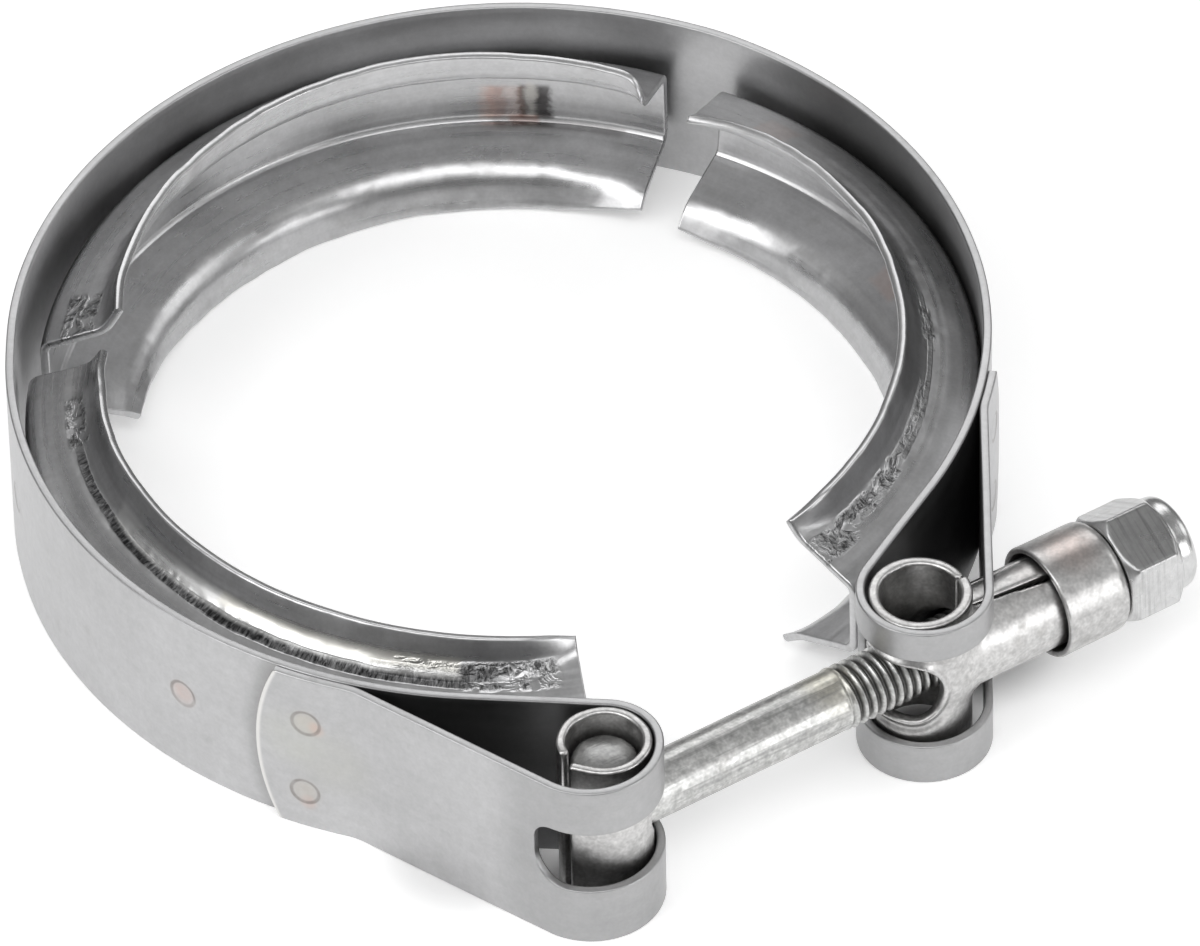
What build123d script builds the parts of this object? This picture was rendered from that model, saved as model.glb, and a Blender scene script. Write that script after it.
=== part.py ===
from build123d import *
import math
import os

# Stainless pipe clamp with V-section retainers: a looped strap with three
# V-section segments spot-welded inside it, closed by a T-bolt, two trunnions,
# a cup washer and a locknut. It lies flat on the lower edge of its strap.
# Units are millimetres. Origin: axis of the rear arc, in the strap's mid-plane.
# +Z is the pipe axis, +Y points to the back of the ring, the bolt is at -Y.

# ---------------------------------------------------------------- dimensions
STRAP_W = 24.2          # strap width, along Z
STRAP_T = 1.1           # strap thickness
STRAP_R = 60.5          # outer radius of the strap's three arcs
R_MID = STRAP_R - STRAP_T / 2
TAB_GAP = 0.03          # layer gap where the end of the strap is welded back
TAB_R = STRAP_R + TAB_GAP + STRAP_T / 2

C_REAR = (0.0, 0.0)     # centre of the rear arc
C_RIGHT = (-2.40, 1.28) # centre of the right arc
C_FRONT = (-0.09, -2.65)  # centre of the front arc

LOOP_L_C, LOOP_L_R = (8.00, -70.69), 8.76   # left loop, wide part: centre, outer radius
LOOP_L2_R = 6.95        # left loop, part pulled snug round the sleeve
LOOP_R_C, LOOP_R_R = (48.15, -46.20), 8.17  # right loop
TAB_BEND_R = 9.0
TAB_L_CONTACT = 250.3   # azimuth on the front arc where the left tab lands
TAB_L_END = 242.3       # azimuth of the left tab's corners
TAB_R_CONTACT = -14.4
TAB_R_END = -9.6
TAB_SAG = 2.8           # the tab ends are convex by this much
TAB_END_R = 27.0

SEG_T = 1.1             # V segment sheet thickness
SEG_TOUCH_R = 59.35     # outside of the trough where it touches the strap
SEG_BASE_HALF = 4.75    # half height of the trough's floor, to the bends' corners
SEG_ROOT = (7.40, 7.45) # corner between leg and lip: depth under the floor, height
SEG_LIP_Z = 11.85       # height of the lips' ends
SEG_LIP_DEPTH = 9.2     # depth of the lips' ends under the floor
SEG_LIP_DEPTH_UP = 7.5  # the rear segment's upper lip stands more upright
SEG_FLOOR_BEND, SEG_LIP_BEND = 3.0, 3.0
# ends of each segment, azimuths about its ring centre; then its own radius, and
# the offset of its centre: the segments curve tighter than the strap and stand
# off it at their ends
SEG_REAR = (69.4, 172.3, 55.47, 3.88, 111.6)
SEG_RIGHT = (-43.4, 59.0, 56.97, 2.38, 3.2)
SEG_FRONT = (175.5, 278.3, 56.97, 2.38, 231.5)

BOLT_Z = 0.7            # height of the bolt's axis
PIVOT_L = (9.784, -70.389)
PIVOT_R = (47.61, -46.46)
SHANK_R = 3.8
THREAD_R = 3.95         # thread crest radius, M8
THREAD_START = 33.6
BOLT_END = 79.8
T_HEAD_R = 4.1
T_HEAD_TOP, T_HEAD_BOTTOM = 9.2, -7.8
T_HEAD_DOME = 1.0

SLEEVE_L_R, SLEEVE_L_T = 5.65, 1.15  # rolled sleeve round the bolt's head
SLEEVE_L_HALF = 11.5
BARREL_R, BARREL_T = 6.2, 1.3       # right trunnion: barrel
BARREL_HALF = 11.7
TUBE_R, TUBE_T = 5.69, 1.1          # right trunnion: tube round the bolt
TUBE_END = 69.9
SLOT_L_HALF = 4.6
SLOT_R_HALF = 7.0

CUP_R, CUP_T = 7.1, 0.75
CUP_START, CUP_END = 61.7, 70.9
NUT_START, NUT_HEX_END, NUT_END = 71.0, 78.7, 81.4
NUT_AF = 13.0
NUT_CORNER_DEG = 56.0
NUT_BORE_R = 4.0

os.makedirs("parts", exist_ok=True)


# ------------------------------------------------------------ plane geometry
def polar(c, r, deg):
    a = math.radians(deg)
    return (c[0] + r * math.cos(a), c[1] + r * math.sin(a))


def tangent_line(c1, r1, c2, r2):
    """Directed line tangent to two directed circles; r > 0 is travelled
    counter-clockwise, r < 0 clockwise. Returns heading and both points."""
    dx, dy = c2[0] - c1[0], c2[1] - c1[1]
    length = math.hypot(dx, dy)
    psi = math.atan2(dy, dx) - math.asin((r2 - r1) / length)
    n = (-math.sin(psi), math.cos(psi))
    return psi, (c1[0] - r1 * n[0], c1[1] - r1 * n[1]), (c2[0] - r2 * n[0], c2[1] - r2 * n[1])


def ang(c, p):
    return math.degrees(math.atan2(p[1] - c[1], p[0] - c[0]))


def arc(c, r, a0, a1, ccw):
    while ccw and a1 < a0:
        a1 += 360
    while ccw and a1 - a0 > 360:
        a1 -= 360
    while not ccw and a1 > a0:
        a1 -= 360
    while not ccw and a0 - a1 > 360:
        a1 += 360
    return ("A", c, r, a0, a1)


def biarc(p0, h0, p1, h1):
    """Two tangent arcs that join two points and headings smoothly."""
    t0 = (math.cos(h0), math.sin(h0))
    t1 = (math.cos(h1), math.sin(h1))
    v = (p1[0] - p0[0], p1[1] - p0[1])
    s = (t0[0] + t1[0], t0[1] + t1[1])
    a = 2 * (t0[0] * t1[0] + t0[1] * t1[1] - 1)
    b = -2 * (v[0] * s[0] + v[1] * s[1])
    c = v[0] ** 2 + v[1] ** 2
    d = -c / b if abs(a) < 1e-9 else (-b - math.sqrt(b * b - 4 * a * c)) / (2 * a)
    if d < 0:
        d = (-b + math.sqrt(b * b - 4 * a * c)) / (2 * a)
    q = ((p0[0] + d * t0[0] + p1[0] - d * t1[0]) / 2, (p0[1] + d * t0[1] + p1[1] - d * t1[1]) / 2)
    out = []
    for (pa, ta, pb, sign) in ((p0, t0, q, 1), (p1, t1, q, -1)):
        n = (-ta[1], ta[0])
        w = (pb[0] - pa[0], pb[1] - pa[1])
        k = 2 * (w[0] * n[0] + w[1] * n[1])
        r = (w[0] ** 2 + w[1] ** 2) / k
        c0 = (pa[0] + r * n[0], pa[1] + r * n[1])
        start, end = (pa, pb) if sign > 0 else (pb, pa)
        out.append(arc(c0, abs(r), ang(c0, start), ang(c0, end), r > 0))
    return out


def ends(e, off):
    """Start and end point of an element moved off to its left."""
    if e[0] == "L":
        (x0, y0), (x1, y1) = e[1], e[2]
        length = math.hypot(x1 - x0, y1 - y0)
        n = (-(y1 - y0) / length * off, (x1 - x0) / length * off)
        return (x0 + n[0], y0 + n[1]), (x1 + n[0], y1 + n[1])
    _, c, r, a0, a1 = e
    rr = r - off if a1 > a0 else r + off
    return polar(c, rr, a0), polar(c, rr, a1)


def edge(e, off, plane):
    p, q = ends(e, off)
    if e[0] == "L":
        return Edge.make_line(plane.from_local_coords((*p, 0)), plane.from_local_coords((*q, 0)))
    _, c, r, a0, a1 = e
    rr = r - off if a1 > a0 else r + off
    m = polar(c, rr, (a0 + a1) / 2)
    return Edge.make_three_point_arc(*(plane.from_local_coords((*v, 0)) for v in (p, m, q)))


def ribbon(elements, t, plane=Plane.XY):
    """Face of constant thickness t along a path of lines and arcs."""
    left = [edge(e, t / 2, plane) for e in elements]
    right = [edge(e, -t / 2, plane) for e in elements]
    caps = []
    for e, k in ((elements[0], 0), (elements[-1], 1)):
        a, b = ends(e, t / 2)[k], ends(e, -t / 2)[k]
        caps.append(Edge.make_line(plane.from_local_coords((*a, 0)), plane.from_local_coords((*b, 0))))
    return Face(Wire(left + right + caps))


def rounded(points, radii):
    """Path of lines and tangent arcs through a polyline's corners."""
    out, start = [], points[0]
    for i in range(1, len(points) - 1):
        p, c, q = points[i - 1], points[i], points[i + 1]
        u = (c[0] - p[0], c[1] - p[1])
        v = (q[0] - c[0], q[1] - c[1])
        lu, lv = math.hypot(*u), math.hypot(*v)
        u, v = (u[0] / lu, u[1] / lu), (v[0] / lv, v[1] / lv)
        turn = math.atan2(u[0] * v[1] - u[1] * v[0], u[0] * v[0] + u[1] * v[1])
        r = radii[i - 1]
        cut = r * math.tan(abs(turn) / 2)
        a = (c[0] - u[0] * cut, c[1] - u[1] * cut)
        b = (c[0] + v[0] * cut, c[1] + v[1] * cut)
        side = 1 if turn > 0 else -1
        centre = (a[0] - u[1] * r * side, a[1] + u[0] * r * side)
        out.append(("L", start, a))
        out.append(arc(centre, r, ang(centre, a), ang(centre, b), turn > 0))
        start = b
    out.append(("L", start, points[-1]))
    return out


def bend_off(c, contact):
    """Centre of the small bend where a tab leaves the arc it is welded to."""
    return polar(c, TAB_R + TAB_BEND_R, contact)


def heading(c, deg, ccw):
    return math.radians(deg + (90 if ccw else -90))


# --------------------------------------------------------------------- strap
LOOP_L_M, LOOP_R_M = LOOP_L_R - STRAP_T / 2, LOOP_R_R - STRAP_T / 2
LOOP_L2_M = LOOP_L2_R - STRAP_T / 2
# the snug arc touches the wide one from inside, on the line through the sleeve
loop_join = ang(LOOP_L_C, PIVOT_L)
LOOP_L2_C = polar(LOOP_L_C, LOOP_L_M - LOOP_L2_M, loop_join)
FLEX_FRONT = (179.0, 172.0)     # azimuths where the free bend left of centre starts and ends
FLEX_RIGHT = (67.2, 59.6)

bend_l = bend_off(C_FRONT, TAB_L_CONTACT)
_, tl0, tl1 = tangent_line(bend_l, -TAB_BEND_R, LOOP_L_C, LOOP_L_M)
_, fl0, fl1 = tangent_line(LOOP_L2_C, LOOP_L2_M, C_FRONT, -R_MID)
_, fr0, fr1 = tangent_line(C_RIGHT, -R_MID, LOOP_R_C, LOOP_R_M)
bend_r = bend_off(C_RIGHT, TAB_R_CONTACT)
_, tr0, tr1 = tangent_line(LOOP_R_C, LOOP_R_M, bend_r, -TAB_BEND_R)

path = [
    arc(C_FRONT, TAB_R, TAB_L_END - 3.6, TAB_L_CONTACT, True),
    arc(bend_l, TAB_BEND_R, TAB_L_CONTACT - 180, ang(bend_l, tl0), False),
    ("L", tl0, tl1),
    arc(LOOP_L_C, LOOP_L_M, ang(LOOP_L_C, tl1), loop_join, True),
    arc(LOOP_L2_C, LOOP_L2_M, loop_join, ang(LOOP_L2_C, fl0), True),
    ("L", fl0, fl1),
    arc(C_FRONT, R_MID, ang(C_FRONT, fl1) % 360, FLEX_FRONT[0], False),
    *biarc(polar(C_FRONT, R_MID, FLEX_FRONT[0]), heading(C_FRONT, FLEX_FRONT[0], False),
           polar(C_REAR, R_MID, FLEX_FRONT[1]), heading(C_REAR, FLEX_FRONT[1], False)),
    arc(C_REAR, R_MID, FLEX_FRONT[1], FLEX_RIGHT[0], False),
    *biarc(polar(C_REAR, R_MID, FLEX_RIGHT[0]), heading(C_REAR, FLEX_RIGHT[0], False),
           polar(C_RIGHT, R_MID, FLEX_RIGHT[1]), heading(C_RIGHT, FLEX_RIGHT[1], False)),
    arc(C_RIGHT, R_MID, FLEX_RIGHT[1], ang(C_RIGHT, fr0), False),
    ("L", fr0, fr1),
    arc(LOOP_R_C, LOOP_R_M, ang(LOOP_R_C, fr1), ang(LOOP_R_C, tr0), True),
    ("L", tr0, tr1),
    arc(bend_r, TAB_BEND_R, ang(bend_r, tr1), TAB_R_CONTACT + 180, False),
    arc(C_RIGHT, TAB_R, TAB_R_CONTACT, TAB_R_END + 3.6, True),
]
strap = Solid.extrude(ribbon(path, STRAP_T).moved(Location((0, 0, -STRAP_W / 2))), Vector(0, 0, STRAP_W))


def radial_plane(c, deg, r=0.0, z=0.0):
    """Plane whose normal points outward along an azimuth."""
    p = polar(c, r, deg)
    a = math.radians(deg)
    return Plane(origin=(*p, z), x_dir=(-math.sin(a), math.cos(a), 0), z_dir=(math.cos(a), math.sin(a), 0))


# convex ends of the two tabs
for c, end, side in ((C_FRONT, TAB_L_END, -1), (C_RIGHT, TAB_R_END, 1)):
    lo, hi = (end - 9, end + 0.2) if side < 0 else (end - 0.2, end + 9)
    beyond = Solid.extrude(
        ribbon([arc(c, STRAP_R + 2.0, lo, hi, True)], 3.97).moved(Location((0, 0, -STRAP_W))),
        Vector(0, 0, 2 * STRAP_W))
    # the disc's rim passes through the corners and stands proud by TAB_SAG
    mid_deg = end + side * math.degrees((TAB_SAG - TAB_END_R) / TAB_R)
    disc = Cylinder(TAB_END_R, 40).located(radial_plane(c, mid_deg, STRAP_R).location)
    strap = strap - (beyond - disc)

# slot for the bolt's shank in the left loop, with round ends on both strands
SLOT_L_A, SLOT_L_B = ang(LOOP_L_C, tl1) + 19.0, 76.0


def loop_cut(c, r, lo, hi, half, z):
    return Solid.extrude(
        ribbon([arc(c, r, lo, hi, True)], 4.0).moved(Location((0, 0, z - half))), Vector(0, 0, 2 * half))


left_cut = loop_cut(LOOP_L_C, LOOP_L_M, SLOT_L_A, loop_join, SLOT_L_HALF, BOLT_Z)
left_cut = left_cut + loop_cut(LOOP_L2_C, LOOP_L2_M, loop_join - 0.5, SLOT_L_B, SLOT_L_HALF, BOLT_Z)
left_cut = left_cut + Cylinder(SLOT_L_HALF, 5).located(radial_plane(LOOP_L_C, SLOT_L_A, LOOP_L_M, BOLT_Z).location)
left_cut = left_cut + Cylinder(SLOT_L_HALF, 4).located(radial_plane(LOOP_L2_C, SLOT_L_B, LOOP_L2_M, BOLT_Z).location)
strap = strap - left_cut

# taller slot in the right loop, for the trunnion's tube and the bolt
RIGHT_LO, RIGHT_TAB_Y = 168.0, -36.0
right_cut = loop_cut(LOOP_R_C, LOOP_R_M, RIGHT_LO, 360 + ang(LOOP_R_C, tr0), SLOT_R_HALF, BOLT_Z)
tab_x = tr0[0]
right_cut = right_cut + Box(5, RIGHT_TAB_Y - tr0[1] + 0.2, 2 * SLOT_R_HALF).located(
    Location((tab_x + 0.15, (RIGHT_TAB_Y + tr0[1]) / 2, BOLT_Z)))
right_cut = right_cut + Cylinder(SLOT_R_HALF, 5).located(
    Plane(origin=(tab_x + 0.3, RIGHT_TAB_Y, BOLT_Z), z_dir=(1, 0, 0)).location)
strap = strap - right_cut

# spot welds that hold each tab to the strap
welds = []
for c, deg in ((C_FRONT, 246.0), (C_RIGHT, -11.9)):
    for z in (5.0, -6.0):
        pl = radial_plane(c, deg, STRAP_R + 0.015, z)
        welds.append(Cylinder(1.9, 0.5).located(pl.location))
for w in welds:
    strap = strap + w

# --------------------------------------------------------------- V segments
# half of the section, from the middle of the trough out to a tip; x is the
# radius and y the height
def section_path(r, up):
    rb = r - SEG_T / 2
    rr, zr = rb - SEG_ROOT[0], SEG_ROOT[1]
    pts = [(rb - SEG_LIP_DEPTH, -SEG_LIP_Z), (rr, -zr), (rb, -SEG_BASE_HALF), (rb, SEG_BASE_HALF),
           (rr, zr), (rb - up, SEG_LIP_Z)]
    return rounded(pts, [SEG_LIP_BEND, SEG_FLOOR_BEND, SEG_FLOOR_BEND, SEG_LIP_BEND])


def v_segment(c, lo, hi, r, shift, toward, up=SEG_LIP_DEPTH):
    centre = polar(c, shift, toward)
    # the ends are given about the ring's centre; turn them about the segment's own
    a0, a1 = (ang(centre, polar(c, SEG_TOUCH_R - 4, a)) for a in (lo, hi))
    pl = Plane(origin=(0, 0, 0), x_dir=(1, 0, 0), z_dir=(0, -1, 0))
    face = ribbon(section_path(r, up), SEG_T, pl)
    seg = Solid.revolve(face, (a1 - a0) % 360, Axis.Z)
    return seg.rotate(Axis.Z, a0).moved(Location((*centre, 0)))


segment_rear = v_segment(C_REAR, *SEG_REAR, up=SEG_LIP_DEPTH_UP)
segment_right = v_segment(C_RIGHT, *SEG_RIGHT)
segment_front = v_segment(C_FRONT, *SEG_FRONT)

# ---------------------------------------------------------------- T-bolt set
BX, BY = PIVOT_R[0] - PIVOT_L[0], PIVOT_R[1] - PIVOT_L[1]
SPAN = math.hypot(BX, BY)
U = (BX / SPAN, BY / SPAN)
BOLT_DEG = math.degrees(math.atan2(BY, BX))
PLANE_L = Plane(origin=(*PIVOT_L, BOLT_Z), x_dir=(0, 0, 1), z_dir=(*U, 0))


def on_bolt(s):
    return PLANE_L.offset(s)


def rod(r, s0, s1):
    return Solid.extrude(Face(Wire.make_circle(r, on_bolt(s0))), Vector(*U, 0) * (s1 - s0))


head = Cylinder(T_HEAD_R, T_HEAD_TOP - T_HEAD_BOTTOM).located(
    Location((*PIVOT_L, (T_HEAD_TOP + T_HEAD_BOTTOM) / 2)))
dome_r = (T_HEAD_R ** 2 + T_HEAD_DOME ** 2) / (2 * T_HEAD_DOME)
band_box = Cylinder(T_HEAD_R, 60).located(Location((*PIVOT_L, 0)))
dome_top = Sphere(dome_r).located(Location((*PIVOT_L, T_HEAD_TOP + T_HEAD_DOME - dome_r))) & band_box & \
    Box(20, 20, 20).located(Location((*PIVOT_L, T_HEAD_TOP - 0.5 + 10)))
dome_bot = Sphere(dome_r).located(Location((*PIVOT_L, T_HEAD_BOTTOM - T_HEAD_DOME + dome_r))) & band_box & \
    Box(20, 20, 20).located(Location((*PIVOT_L, T_HEAD_BOTTOM + 0.5 - 10)))
shank = rod(SHANK_R, 0, THREAD_START)
thread = rod(THREAD_R, THREAD_START - 0.001, BOLT_END)
thread = chamfer(thread.edges().sort_by(Axis((*PIVOT_L, BOLT_Z), (*U, 0)))[-1], 0.7)
t_bolt = head + dome_top + dome_bot + shank + thread

# rolled sleeve round the T-bolt's head: open seam opposite the shank
sleeve = Cylinder(SLEEVE_L_R, 2 * SLEEVE_L_HALF) - Cylinder(SLEEVE_L_R - SLEEVE_L_T, 4 * SLEEVE_L_HALF)
sleeve = sleeve.located(Location((*PIVOT_L, BOLT_Z)))
sleeve = sleeve - rod(SHANK_R + 0.35, 0, 12)
seam_deg = BOLT_DEG + 176
seam = Box(6, 1.3, 60).located(Location((*polar(PIVOT_L, SLEEVE_L_R, seam_deg), 0), (0, 0, seam_deg)))
sleeve_trunnion = sleeve - seam

# right trunnion: barrel with a tube drawn out round the bolt
barrel_out = Cylinder(BARREL_R, 2 * BARREL_HALF).located(Location((*PIVOT_R, 0)))
barrel_in = Cylinder(BARREL_R - BARREL_T, 4 * BARREL_HALF).located(Location((*PIVOT_R, 0)))
tube_out = rod(TUBE_R, SPAN, TUBE_END)
trunnion = barrel_out + tube_out
neck = [e for e in trunnion.edges() if e.geom_type not in (GeomType.LINE, GeomType.CIRCLE)]
try:
    trunnion = fillet(neck, 1.2)
except Exception:
    pass
trunnion = trunnion - barrel_in - rod(TUBE_R - TUBE_T, SPAN, TUBE_END + 5)
# oval hole where the bolt comes in, long towards the front so it can swing
for k in range(7):
    d = BOLT_DEG + 180 + 7.0 * k
    pl = Plane(origin=(*PIVOT_R, BOLT_Z), x_dir=(0, 0, 1),
               z_dir=(math.cos(math.radians(d)), math.sin(math.radians(d)), 0))
    trunnion = trunnion - Solid.extrude(Face(Wire.make_circle(4.4, pl)), pl.z_dir * 12)
# seams where the rolled sheet meets itself
seam_s = PLANE_L.offset((SPAN + BARREL_R + TUBE_END) / 2)
slit_dir = math.radians(-28)
slit_c = Vector(seam_s.origin) + Vector(-U[1], U[0], 0) * (TUBE_R * math.sin(-slit_dir)) + Vector(0, 0, 1) * (TUBE_R * math.cos(slit_dir))
trunnion = trunnion - Box(3.2, 0.35, TUBE_END - SPAN - BARREL_R + 2).located(
    Plane(origin=slit_c, x_dir=(slit_c - Vector(seam_s.origin)).normalized(), z_dir=(*U, 0)).location)
trunnion = trunnion - Box(2.2, 0.3, 60).located(
    Location((*polar(PIVOT_R, BARREL_R - 0.5, 26.0), 17.5 + 20), (0, 0, 26.0)))

# ---------------------------------------------------------- cup and locknut
cup = rod(CUP_R, CUP_START, CUP_END)
cup = fillet(cup.edges().sort_by(Axis((*PIVOT_L, BOLT_Z), (*U, 0)))[-1], 1.3)
cup = cup - rod(CUP_R - CUP_T, CUP_START - 1, CUP_END - CUP_T) - rod(4.25, CUP_START, CUP_END + 1)

nut_plane = on_bolt(NUT_START)
# corner angle is counted from +Z towards the front side of the bolt
hex_face = Face(Wire.make_polygon(
    [nut_plane.from_local_coords((NUT_AF / math.sqrt(3) * math.cos(math.radians(-NUT_CORNER_DEG + 60 * k)),
                                  NUT_AF / math.sqrt(3) * math.sin(math.radians(-NUT_CORNER_DEG + 60 * k)), 0))
     for k in range(6)]))
nut_hex = Solid.extrude(hex_face, Vector(*U, 0) * (NUT_HEX_END - NUT_START))
turned = rod(NUT_AF / math.sqrt(3) + 0.3, NUT_START, NUT_HEX_END)
ring_edges = turned.edges().filter_by(GeomType.CIRCLE)
turned = chamfer(ring_edges, 0.75, 1.35)
nut_hex = nut_hex & turned
crown = rod(5.95, NUT_HEX_END - 1, NUT_END)
crown = fillet(crown.edges().sort_by(Axis((*PIVOT_L, BOLT_Z), (*U, 0)))[-1], 1.4)
nut = nut_hex + crown - rod(NUT_BORE_R, NUT_START - 1, NUT_END + 1)

# ------------------------------------------------------------------- export
nodes = {
    "band": strap,
    "segment_rear": segment_rear,
    "segment_right": segment_right,
    "segment_front": segment_front,
    "t_bolt": t_bolt,
    "sleeve_trunnion": sleeve_trunnion,
    "tube_trunnion": trunnion,
    "cup_washer": cup,
    "locknut": nut,
}
for name, shape in nodes.items():
    solids = shape.solids()
    shape = solids[0] if len(solids) == 1 else Compound(solids)
    shape.label = name
    export_step(shape, f"parts/{name}.step")
    print(name, len(solids), round(sum(s.volume for s in solids), 1))
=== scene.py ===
import math

import bmesh
import bpy
import numpy as np
from mathutils import Matrix, Vector, noise
from mathutils.geometry import delaunay_2d_cdt


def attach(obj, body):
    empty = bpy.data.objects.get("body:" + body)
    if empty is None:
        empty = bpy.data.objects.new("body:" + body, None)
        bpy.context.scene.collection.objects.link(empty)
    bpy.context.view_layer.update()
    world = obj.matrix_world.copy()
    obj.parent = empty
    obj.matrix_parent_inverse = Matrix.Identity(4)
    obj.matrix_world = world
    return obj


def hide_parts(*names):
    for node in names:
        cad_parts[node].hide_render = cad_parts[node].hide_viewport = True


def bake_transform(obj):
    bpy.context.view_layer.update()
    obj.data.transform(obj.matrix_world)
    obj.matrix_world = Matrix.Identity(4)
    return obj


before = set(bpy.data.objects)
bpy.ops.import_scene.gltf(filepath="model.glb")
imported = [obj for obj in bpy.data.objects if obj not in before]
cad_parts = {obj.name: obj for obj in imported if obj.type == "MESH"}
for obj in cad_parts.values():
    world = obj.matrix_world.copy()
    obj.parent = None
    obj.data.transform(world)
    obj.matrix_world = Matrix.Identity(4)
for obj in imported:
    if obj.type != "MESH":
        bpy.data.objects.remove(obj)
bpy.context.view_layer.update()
MM = 0.001

# ------------------------------------------------------------ the clamp's sizes, mm
W2 = 12.1
T = 1.1
R_OUT = 60.5
R_MID = R_OUT - T / 2
TAB_R = R_OUT + 0.03 + T / 2
CA, CB, CC = (0.0, 0.0), (-2.40, 1.28), (-0.09, -2.65)
LOOP_L_C, LOOP_L_M = (8.00, -70.69), 8.76 - T / 2
LOOP_L2_M = 6.95 - T / 2
LOOP_R_C, LOOP_R_M = (48.15, -46.20), 8.17 - T / 2
PL = np.array([9.784, -70.389])
PR = np.array([47.61, -46.46])
ZB = 0.7
SPAN = float(np.linalg.norm(PR - PL))
U = (PR - PL) / SPAN
BOLT_DEG = math.degrees(math.atan2(U[1], U[0]))
BEND_R = 9.0


# ------------------------------------------------------------ mesh helpers
def make(name, verts, faces, mats, uv=None, sharp=50.0, side=None):
    """Mesh object from millimetre points; uv is one (u, v) in metres per vertex, side tells a sheet's faces apart."""
    me = bpy.data.meshes.new(name)
    v = np.asarray(verts, float) * MM
    me.from_pydata([tuple(p) for p in v], [], [tuple(int(i) for i in f) for f in faces])
    me.update()
    if uv is not None:
        layer = me.uv_layers.new(name="UVMap")
        loops = np.empty(len(me.loops), np.int32)
        me.loops.foreach_get("vertex_index", loops)
        layer.data.foreach_set("uv", (np.asarray(uv, float)[loops]).astype(np.float32).ravel())
    if side is not None:
        me.attributes.new("side", "FLOAT", "POINT").data.foreach_set("value", np.asarray(side, np.float32))
    for p in me.polygons:
        p.use_smooth = True
    if sharp:
        me.set_sharp_from_angle(angle=math.radians(sharp))
    for m in mats:
        me.materials.append(m)
    me.validate()
    o = bpy.data.objects.new(name, me)
    bpy.context.scene.collection.objects.link(o)
    return o


def hash3(i, j, k):
    i, j, k = (np.asarray(a).astype(np.int64) for a in (i, j, k))
    n = (i * 374761393 + j * 668265263 + k * 2147483647 + 1013904223) & 0xFFFFFFFF
    n = ((n ^ (n >> 13)) * 1274126177) & 0xFFFFFFFF
    n = n ^ (n >> 16)
    return (n & 0xFFFFFF) / float(0xFFFFFF) * 2 - 1


def vnoise(x, y, seed=0):
    """Smooth value noise in -1..1 on arrays."""
    x, y = np.asarray(x, float), np.asarray(y, float)
    xi, yi = np.floor(x), np.floor(y)
    fx, fy = x - xi, y - yi
    fx, fy = fx * fx * fx * (fx * (fx * 6 - 15) + 10), fy * fy * fy * (fy * (fy * 6 - 15) + 10)
    a = hash3(xi, yi, seed); b = hash3(xi + 1, yi, seed)
    c = hash3(xi, yi + 1, seed); d = hash3(xi + 1, yi + 1, seed)
    return (a * (1 - fx) + b * fx) * (1 - fy) + (c * (1 - fx) + d * fx) * fy


def smooth(a, b, x):
    t = np.clip((np.asarray(x, float) - a) / (b - a), 0, 1)
    return t * t * (3 - 2 * t)


def bump(x, w):
    return np.exp(-(np.asarray(x, float) / w) ** 2)


def ang(c, p):
    return math.degrees(math.atan2(p[1] - c[1], p[0] - c[0]))


def polar(c, r, deg):
    a = math.radians(deg)
    return (c[0] + r * math.cos(a), c[1] + r * math.sin(a))


def tangent_line(c1, r1, c2, r2):
    dx, dy = c2[0] - c1[0], c2[1] - c1[1]
    length = math.hypot(dx, dy)
    psi = math.atan2(dy, dx) - math.asin((r2 - r1) / length)
    n = (-math.sin(psi), math.cos(psi))
    return psi, (c1[0] - r1 * n[0], c1[1] - r1 * n[1]), (c2[0] - r2 * n[0], c2[1] - r2 * n[1])


def arc(c, r, a0, a1, ccw):
    while ccw and a1 < a0:
        a1 += 360
    while ccw and a1 - a0 > 360:
        a1 -= 360
    while not ccw and a1 > a0:
        a1 -= 360
    while not ccw and a0 - a1 > 360:
        a1 += 360
    return ("A", c, r, a0, a1)


def biarc(p0, h0, p1, h1):
    t0, t1 = (math.cos(h0), math.sin(h0)), (math.cos(h1), math.sin(h1))
    v = (p1[0] - p0[0], p1[1] - p0[1])
    s = (t0[0] + t1[0], t0[1] + t1[1])
    a = 2 * (t0[0] * t1[0] + t0[1] * t1[1] - 1)
    b = -2 * (v[0] * s[0] + v[1] * s[1])
    c = v[0] ** 2 + v[1] ** 2
    d = -c / b if abs(a) < 1e-9 else (-b - math.sqrt(b * b - 4 * a * c)) / (2 * a)
    if d < 0:
        d = (-b + math.sqrt(b * b - 4 * a * c)) / (2 * a)
    q = ((p0[0] + d * t0[0] + p1[0] - d * t1[0]) / 2, (p0[1] + d * t0[1] + p1[1] - d * t1[1]) / 2)
    out = []
    for (pa, ta, pb, sign) in ((p0, t0, q, 1), (p1, t1, q, -1)):
        n = (-ta[1], ta[0])
        w = (pb[0] - pa[0], pb[1] - pa[1])
        k = 2 * (w[0] * n[0] + w[1] * n[1])
        r = (w[0] ** 2 + w[1] ** 2) / k
        c0 = (pa[0] + r * n[0], pa[1] + r * n[1])
        start, end = (pa, pb) if sign > 0 else (pb, pa)
        out.append(arc(c0, abs(r), ang(c0, start), ang(c0, end), r > 0))
    return out


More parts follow.
